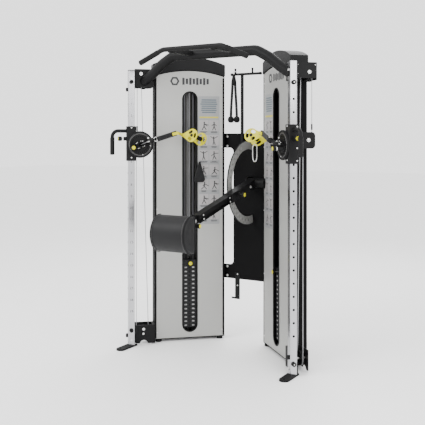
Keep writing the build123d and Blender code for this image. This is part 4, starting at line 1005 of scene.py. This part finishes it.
def arm_details():
    """Step collars, bolts and pivot caps of the swinging arm."""
    collar = bmesh.new()
    for y, size in ((-ARM_STEP, 0.068), (-ARM_STEP + 0.030, 0.068)):
        slab(rounded_box(size, size, 0.006), -0.004, 0.004, collar,
                ON_ARM @ axes((0.095, y, 0), (1, 0, 0), (0, -1, 0)))
    piece("arm_collars", collar, "black_moulded", "arm", bevel=0.001)
    steel = bmesh.new()
    for y in (-ARM_STEP - 0.03, -ARM_END + 0.05):
        for s in (-1, 1):
            button_bolt(steel, ON_ARM @ facing((0.124, y, s * 0.014), (1, 0, 0)), 0.006)
    hex_bolt(steel, ON_ARM @ facing((0.128, -0.10, 0.0), (1, 0, 0)), 0.009)
    piece("arm_bolts", steel, "zinc_steel", "arm")
    cap = lathe([(0.0, 0.0045), (0.016, 0.0045), (0.030, 0.004), (0.0365, 0.0015), (0.0375, 0.0),
            (0, 0.0)], 48)
    piece("pivot_end_cap", cap, "black_moulded", "frame", facing((0.204, PIVOT.y, PIVOT.z), (1, 0, 0)))
    plug = lathe([(0.0, 0.003), (0.010, 0.003), (0.0125, 0.0012), (0.0125, 0.0), (0, 0)], 32)
    piece("arm_end_bolt_cap", plug, "zinc_steel", "pad", pad_hinge() @ Matrix.Translation((0, 0, 0.021)))


def pad_hinge():
    """Frame on the pad's tilt axis, z to the right."""
    y = PIVOT.y - ARM_REACH * math.cos(ARM_SLOPE)
    z = PIVOT.z - ARM_REACH * math.sin(ARM_SLOPE)
    return facing((0.095, y, z), (1, 0, 0))


def pad_section(inset, steps=26):
    """Half-round section of the pad in y and z, flat at the back, with softened corners."""
    middle, half = (PAD_LOW + PAD_HIGH) / 2, (PAD_HIGH - PAD_LOW) / 2 - inset
    depth = PAD_BACK - PAD_FRONT - 0.004 - inset
    points = []
    for i in range(steps + 1):
        t = math.radians(-90 + 180 * i / steps)
        points.append((PAD_BACK - 0.004 - depth * math.cos(t) ** 0.86, middle + half * math.sin(t)))
    return points


def simulate_pad(obj, cap):
    """Inflates the pad a little as cloth, holding its back and its seams, and caps how far it moves."""
    rest = [v.co.copy() for v in obj.data.vertices]
    group = obj.vertex_groups.new(name="held")
    held = []
    for v in obj.data.vertices:
        at_back = v.co.y > PAD_BACK - 0.012
        at_seam = abs(abs(v.co.x) - (PAD_HALF_W - 0.0245)) < 0.005
        if at_back or at_seam:
            held.append(v.index)
    group.add(held, 1.0, "REPLACE")
    cloth = obj.modifiers.new("cloth", "CLOTH")
    cloth.settings.quality, cloth.settings.mass = 5, 0.4
    cloth.settings.tension_stiffness = cloth.settings.compression_stiffness = 25
    cloth.settings.bending_stiffness = 2.0
    cloth.settings.use_pressure, cloth.settings.uniform_pressure_force = True, 4
    cloth.settings.vertex_group_mass = "held"
    cloth.settings.effector_weights.gravity = 0
    cloth.point_cache.frame_start, cloth.point_cache.frame_end = 1, 20
    for number in range(1, 21):
        bpy.context.scene.frame_set(number)
    graph = bpy.context.evaluated_depsgraph_get()
    swollen = [v.co.copy() for v in obj.evaluated_get(graph).data.vertices]
    obj.modifiers.remove(cloth)
    for v, start, end in zip(obj.data.vertices, rest, swollen):
        step = end - start
        v.co = start + step * (min(step.length, cap) / step.length if step.length > 1e-9 else 0)
    bpy.context.scene.frame_set(1)


def pad():
    """Upholstered chest pad: inflated half-round body, end seams with piping, and stitching beside the piping.
    """
    bm = bmesh.new()
    columns = 30
    section = pad_section(0.007)
    rings = []
    for i in range(columns + 1):
        share = i / columns * 2 - 1
        x = (PAD_HALF_W - 0.006) * math.copysign(abs(share) ** 0.85, share)
        round_in = 0.004 * abs(share) ** 10
        middle = (PAD_LOW + PAD_HIGH) / 2
        ring = [bm.verts.new((x, min(y + round_in * 2, PAD_BACK - 0.003),
                z + (middle - z) * round_in * 4)) for y, z in section]
        rings.append(ring)
    size = len(section)
    for low, high in zip(rings, rings[1:]):
        for i in range(size):
            j = (i + 1) % size
            bm.faces.new((low[i], low[j], high[j], high[i]))
    bm.faces.new(rings[0][::-1])
    bm.faces.new(rings[-1])
    bmesh.ops.recalc_face_normals(bm, faces=bm.faces)
    obj = piece("chest_pad", bm, "pad_vinyl", None)
    remesh = obj.modifiers.new("remesh", "REMESH")
    remesh.mode, remesh.voxel_size = "VOXEL", 0.006
    graph = bpy.context.evaluated_depsgraph_get()
    mesh = bpy.data.meshes.new_from_object(obj.evaluated_get(graph))
    obj.modifiers.remove(remesh)
    obj.data = mesh
    simulate_pad(obj, 0.005)
    mesh.shade_smooth()
    obj.modifiers.new("smooth", "SUBSURF").render_levels = 1
    obj.modifiers["smooth"].levels = 1
    mesh.materials.clear()
    mesh.materials.append(MATERIALS["pad_vinyl"])
    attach(obj, "pad")
    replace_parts(obj, "pad_cushion")
    piping, thread = bmesh.new(), bmesh.new()
    for s in (-1, 1):
        loop = [(s * (PAD_HALF_W - 0.0245), y, z) for y, z in pad_section(0.0035, 60)]
        sweep(loop, ring_section(0.0030, 10), piping, closed=True)
        row = pad_section(0.0035, 90)
        for a, b in list(zip(row, row[1:]))[3:-3]:
            start, end = Vector((s * (PAD_HALF_W - 0.033), *a)), Vector((s * (PAD_HALF_W - 0.033), *b))
            sweep([start, start.lerp(end, 0.62)], ring_section(0.0007, 6), thread)
    piece("pad_piping", piping, "pad_vinyl", "pad")
    piece("pad_stitching", thread, "grey_thread", "pad")


def rack_details():
    """Caps on the rack's rod and pins, screws of the panel and rubber tips."""
    caps, steel = bmesh.new(), bmesh.new()
    rack_y = 0.125 + SHIFT_Y
    for x, s in ((-0.120, -1), (0.150, 1)):
        lathe([(0, 0.004), (0.007, 0.004), (0.0105, 0.002), (0.0115, -0.004), (0.0115, -0.012),
                (0.0101, -0.012)], 28,
              facing((x, rack_y, 2.118), (s, 0, 0)), caps)
    for x in (-0.082, 0.072):
        lathe([(0, 0.003), (0.005, 0.003), (0.0078, 0.001), (0.0085, -0.004), (0.0085, -0.010),
                (0.0071, -0.010)], 24,
              facing((x, rack_y, 2.162), (0, 0, 1)), caps)
    for x, z in ((-0.173, 1.623), (-0.173, 1.546), (-0.173, 0.575), (-0.173, 0.503), (0.190, 1.60),
            (0.190, 1.10), (0.190, 0.53)):
        y = PANEL_Y - (0.005 if x < 0 else 0)
        hex_bolt(steel, facing((x, y, z), (0, -1, 0)), 0.0085)
    for z in (0.430, 0.520):
        button_bolt(steel, facing((-0.077, PANEL_Y - 0.005, z), (0, -1, 0)), 0.006)
    piece("rack_caps", caps, "black_rubber", "frame")
    piece("panel_bolts", steel, "zinc_steel", "frame")


def rope():
    """Two-tailed pull rope on the rack: steel eye, moulded head, braided tails and rubber balls."""
    head_z = 2.050
    eye = [(ROPE_X + x, ROPE_Y + 0.026, 2.139 + y) for x, y in arc((0, 0), 0.0125, 0, 360, 28)[:-1]]
    flat_eye = [(x, ROPE_Y + 0.026 + (z - 2.139), 2.139) for x, y, z in eye]
    bm = sweep(flat_eye, ring_section(0.0032, 10), closed=True)
    sweep([(ROPE_X, ROPE_Y + 0.0135, 2.139), (ROPE_X, ROPE_Y + 0.004, 2.134), (ROPE_X, ROPE_Y, 2.122),
            (ROPE_X, ROPE_Y, 2.112)],
          ring_section(0.0034, 10), bm)
    piece("rope_eye", bm, "zinc_steel", "rope")
    head = [(0, 0.072), (0.006, 0.072), (0.0095, 0.066), (0.0130, 0.050), (0.0200, 0.016),
            (0.0215, -0.012), (0, -0.012)]
    sleeve = piece("rope_head", lathe(head, 32), "black_rubber", "rope",
            Matrix.Translation((ROPE_X, ROPE_Y, head_z - 0.004)))
    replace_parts(sleeve, "rope")
    left_route = ((-0.0940, ROPE_Y, 2.050), (-0.0965, ROPE_Y, 1.985), (-0.1020, ROPE_Y, 1.915),
                  (-0.1065, ROPE_Y, 1.845), (-0.1090, ROPE_Y, 1.780))
    right_route = ((-0.0700, ROPE_Y, 2.050), (-0.0675, ROPE_Y, 1.985), (-0.0620, ROPE_Y, 1.915),
                   (-0.0575, ROPE_Y, 1.845), (-0.0550, ROPE_Y, 1.780))
    for name, points in (("left", left_route), ("right", right_route)):
        foot_x = points[-1][0]
        route = bpy.data.curves.new("route", "CURVE")
        route.dimensions = "3D"
        spline = route.splines.new("NURBS")
        spline.points.add(len(points) - 1)
        for control, point in zip(spline.points, points):
            control.co = (*point, 1)
        spline.order_u = 3
        spline.use_endpoint_u = True
        spline.resolution_u = 8
        holder = bpy.data.objects.new("route", route)
        bpy.context.scene.collection.objects.link(holder)
        bpy.context.view_layer.update()
        line = [v.co.copy() for v in bpy.data.meshes.new_from_object(holder).vertices]
        bpy.data.objects.remove(holder)
        bm = braided(line, 0.0109)
        tail = piece(f"rope_tail_{name}", bm, "braided_rope", "rope")
        ball = [(0.006, 0.023), (0.012, 0.0255), (0.0195, 0.020), (0.0242, 0.009), (0.0252, -0.002),
                (0.0232, -0.013), (0.0165, -0.021), (0.008, -0.0245), (0, -0.025)]
        end = piece(f"rope_ball_{name}", lathe(ball, 40), "black_rubber", "rope",
                Matrix.Translation((foot_x, ROPE_Y, 1.757)))


def braided(line, radius):
    """A tube whose surface carries a raised helical braid, along a line of points."""
    total = sum((b - a).length for a, b in zip(line, line[1:]))
    count = max(24, int(total / 0.003))
    fine, walked, index = [], 0.0, 0
    for i in range(count + 1):
        target = total * i / count
        while index < len(line) - 2 and walked + (line[index + 1] - line[index]).length < target:
            walked += (line[index + 1] - line[index]).length
            index += 1
        step = (line[index + 1] - line[index]).length
        fine.append(line[index].lerp(line[index + 1], min(1, (target - walked) / step)))
    bm = bmesh.new()
    steps, rings, side = 24, [], None
    for i, p in enumerate(fine):
        along = (fine[min(i + 1, count)] - fine[max(i - 1, 0)]).normalized()
        side = Vector((0, 1,
                0)).cross(along).normalized() if side is None else (side - along * side.dot(along)).normalized()
        rise = along.cross(side)
        ring = []
        for k in range(steps):
            t = 2 * math.pi * k / steps
            ridge = 0.0005 * (math.sin(8 * t + i * 0.9) + math.sin(8 * t - i * 0.9)) / 2
            r = radius - 0.0004 + ridge
            ring.append(bm.verts.new(p + (side * math.cos(t) + rise * math.sin(t)) * r))
        rings.append(ring)
    for low, high in zip(rings, rings[1:]):
        for k in range(steps):
            bm.faces.new((low[k], low[(k + 1) % steps], high[(k + 1) % steps], high[k]))
    bm.faces.new(rings[0][::-1])
    bm.faces.new(rings[-1])
    bmesh.ops.recalc_face_normals(bm, faces=bm.faces)
    return bm


# ---- pull pins -------------------------------------------------------------------------------
def pins():
    """Every pull pin of the machine, with its knob at its own place."""
    for name, side in SIDES:
        place = tower(side)
        spot = place @ facing((SLOT_U, -0.010, PIN_Z), (0, -1, 0))
        pull_knob(name + "_selector", name + "_selector_pin", spot, 0.018, 0.024, name + "_selector_pin",
                0.005, -0.062)
        spot = place @ facing((COLUMN_U + SLEEVE_HALF + 0.033, COLUMN_V, CARRIAGE_PIN_Z), (1, 0, 0))
        pull_knob(name + "_pop", name + "_pop_pin", spot, 0.018, 0.033, name + "_pop_pin", 0.006, -0.044)
        spot = place @ SWIVEL @ facing((-INDEX_R, -0.181, 0), (0, -1, 0))
        pull_knob(name + "_swivel_pull", name + "_swivel_pin", spot, 0.017, 0.025, name + "_swivel_pin",
                0.005, -0.0682)
    pull_knob("arm_pull", "arm_pin", ON_ARM @ facing((0.155, -SECTOR_MID, 0), (1, 0, 0)), 0.018, 0.027,
            "arm_pin", 0.006, -0.0955)
    hinge = pad_hinge()
    low = Matrix.Translation((0, 0, -0.031)) @ hinge
    pull_knob("pad_pull", "pad_pin", low @ Matrix.Translation((0, 0, 0.036)), 0.016, 0.024, "pad_pin",
            0.0035, -0.0308)


# ---- studio ----------------------------------------------------------------------------------
def studio():
    """Camera at the reference viewpoint, pale floor and soft lights."""
    camera = bpy.data.cameras.new("camera")
    holder = bpy.data.objects.new("camera", camera)
    bpy.context.scene.collection.objects.link(holder)
    holder.location = (2.7831, -4.9434 + SHIFT_Y, 1.5963)
    holder.rotation_euler = (math.pi / 2, 0, 0.546)
    camera.sensor_width, camera.lens, camera.shift_y = 36, 61.68, -0.171
    bpy.context.scene.camera = holder
    world = bpy.data.worlds.new("studio")
    world.use_nodes = True
    world.node_tree.nodes["Background"].inputs["Color"].default_value = (1, 1, 1, 1)
    world.node_tree.nodes["Background"].inputs["Strength"].default_value = 2.1
    bpy.context.scene.world = world
    floor = piece("studio_floor", slab(rounded_box(60, 60, 1), -0.02, 0), "studio_floor", None,
            smooth=False)
    for name, place, size, power in (("key", (-2.5, -4.5, 4.5), 3.0, 240),
            ("fill", (4.0, -2.5, 3.2), 2.5, 110),
                                     ("rim", (-1.0, 4.0, 4.0), 3.0, 120)):
        lamp = bpy.data.lights.new(name, "AREA")
        lamp.size, lamp.energy = size, power
        light = bpy.data.objects.new(name, lamp)
        bpy.context.scene.collection.objects.link(light)
        light.location = place
        light.rotation_euler = (Vector((0, 0, 1.1)) - Vector(place)).to_track_quat("-Z", "Y").to_euler()


dress_nodes()
for side_name, side_sign in SIDES:
    placard(side_sign, side_name)
    emblem(side_sign, side_name)
    stack_details(side_sign, side_name)
    shroud_screws(side_sign, side_name)
    shroud_trim(side_sign, side_name)
    column_numbers(side_sign, side_name)
    column_hardware(side_sign, side_name)
    cable_runs(side_sign, side_name)
    carriage_cable(side_sign, side_name)
    carriage_details(side_sign, side_name)
    swivel_details(side_sign, side_name)
    handle_details(side_sign, side_name)
bar_grips()
ring_band()
arm_details()
pad()
rack_details()
rope()
snap_hook()
strap_handle()
pins()
studio()
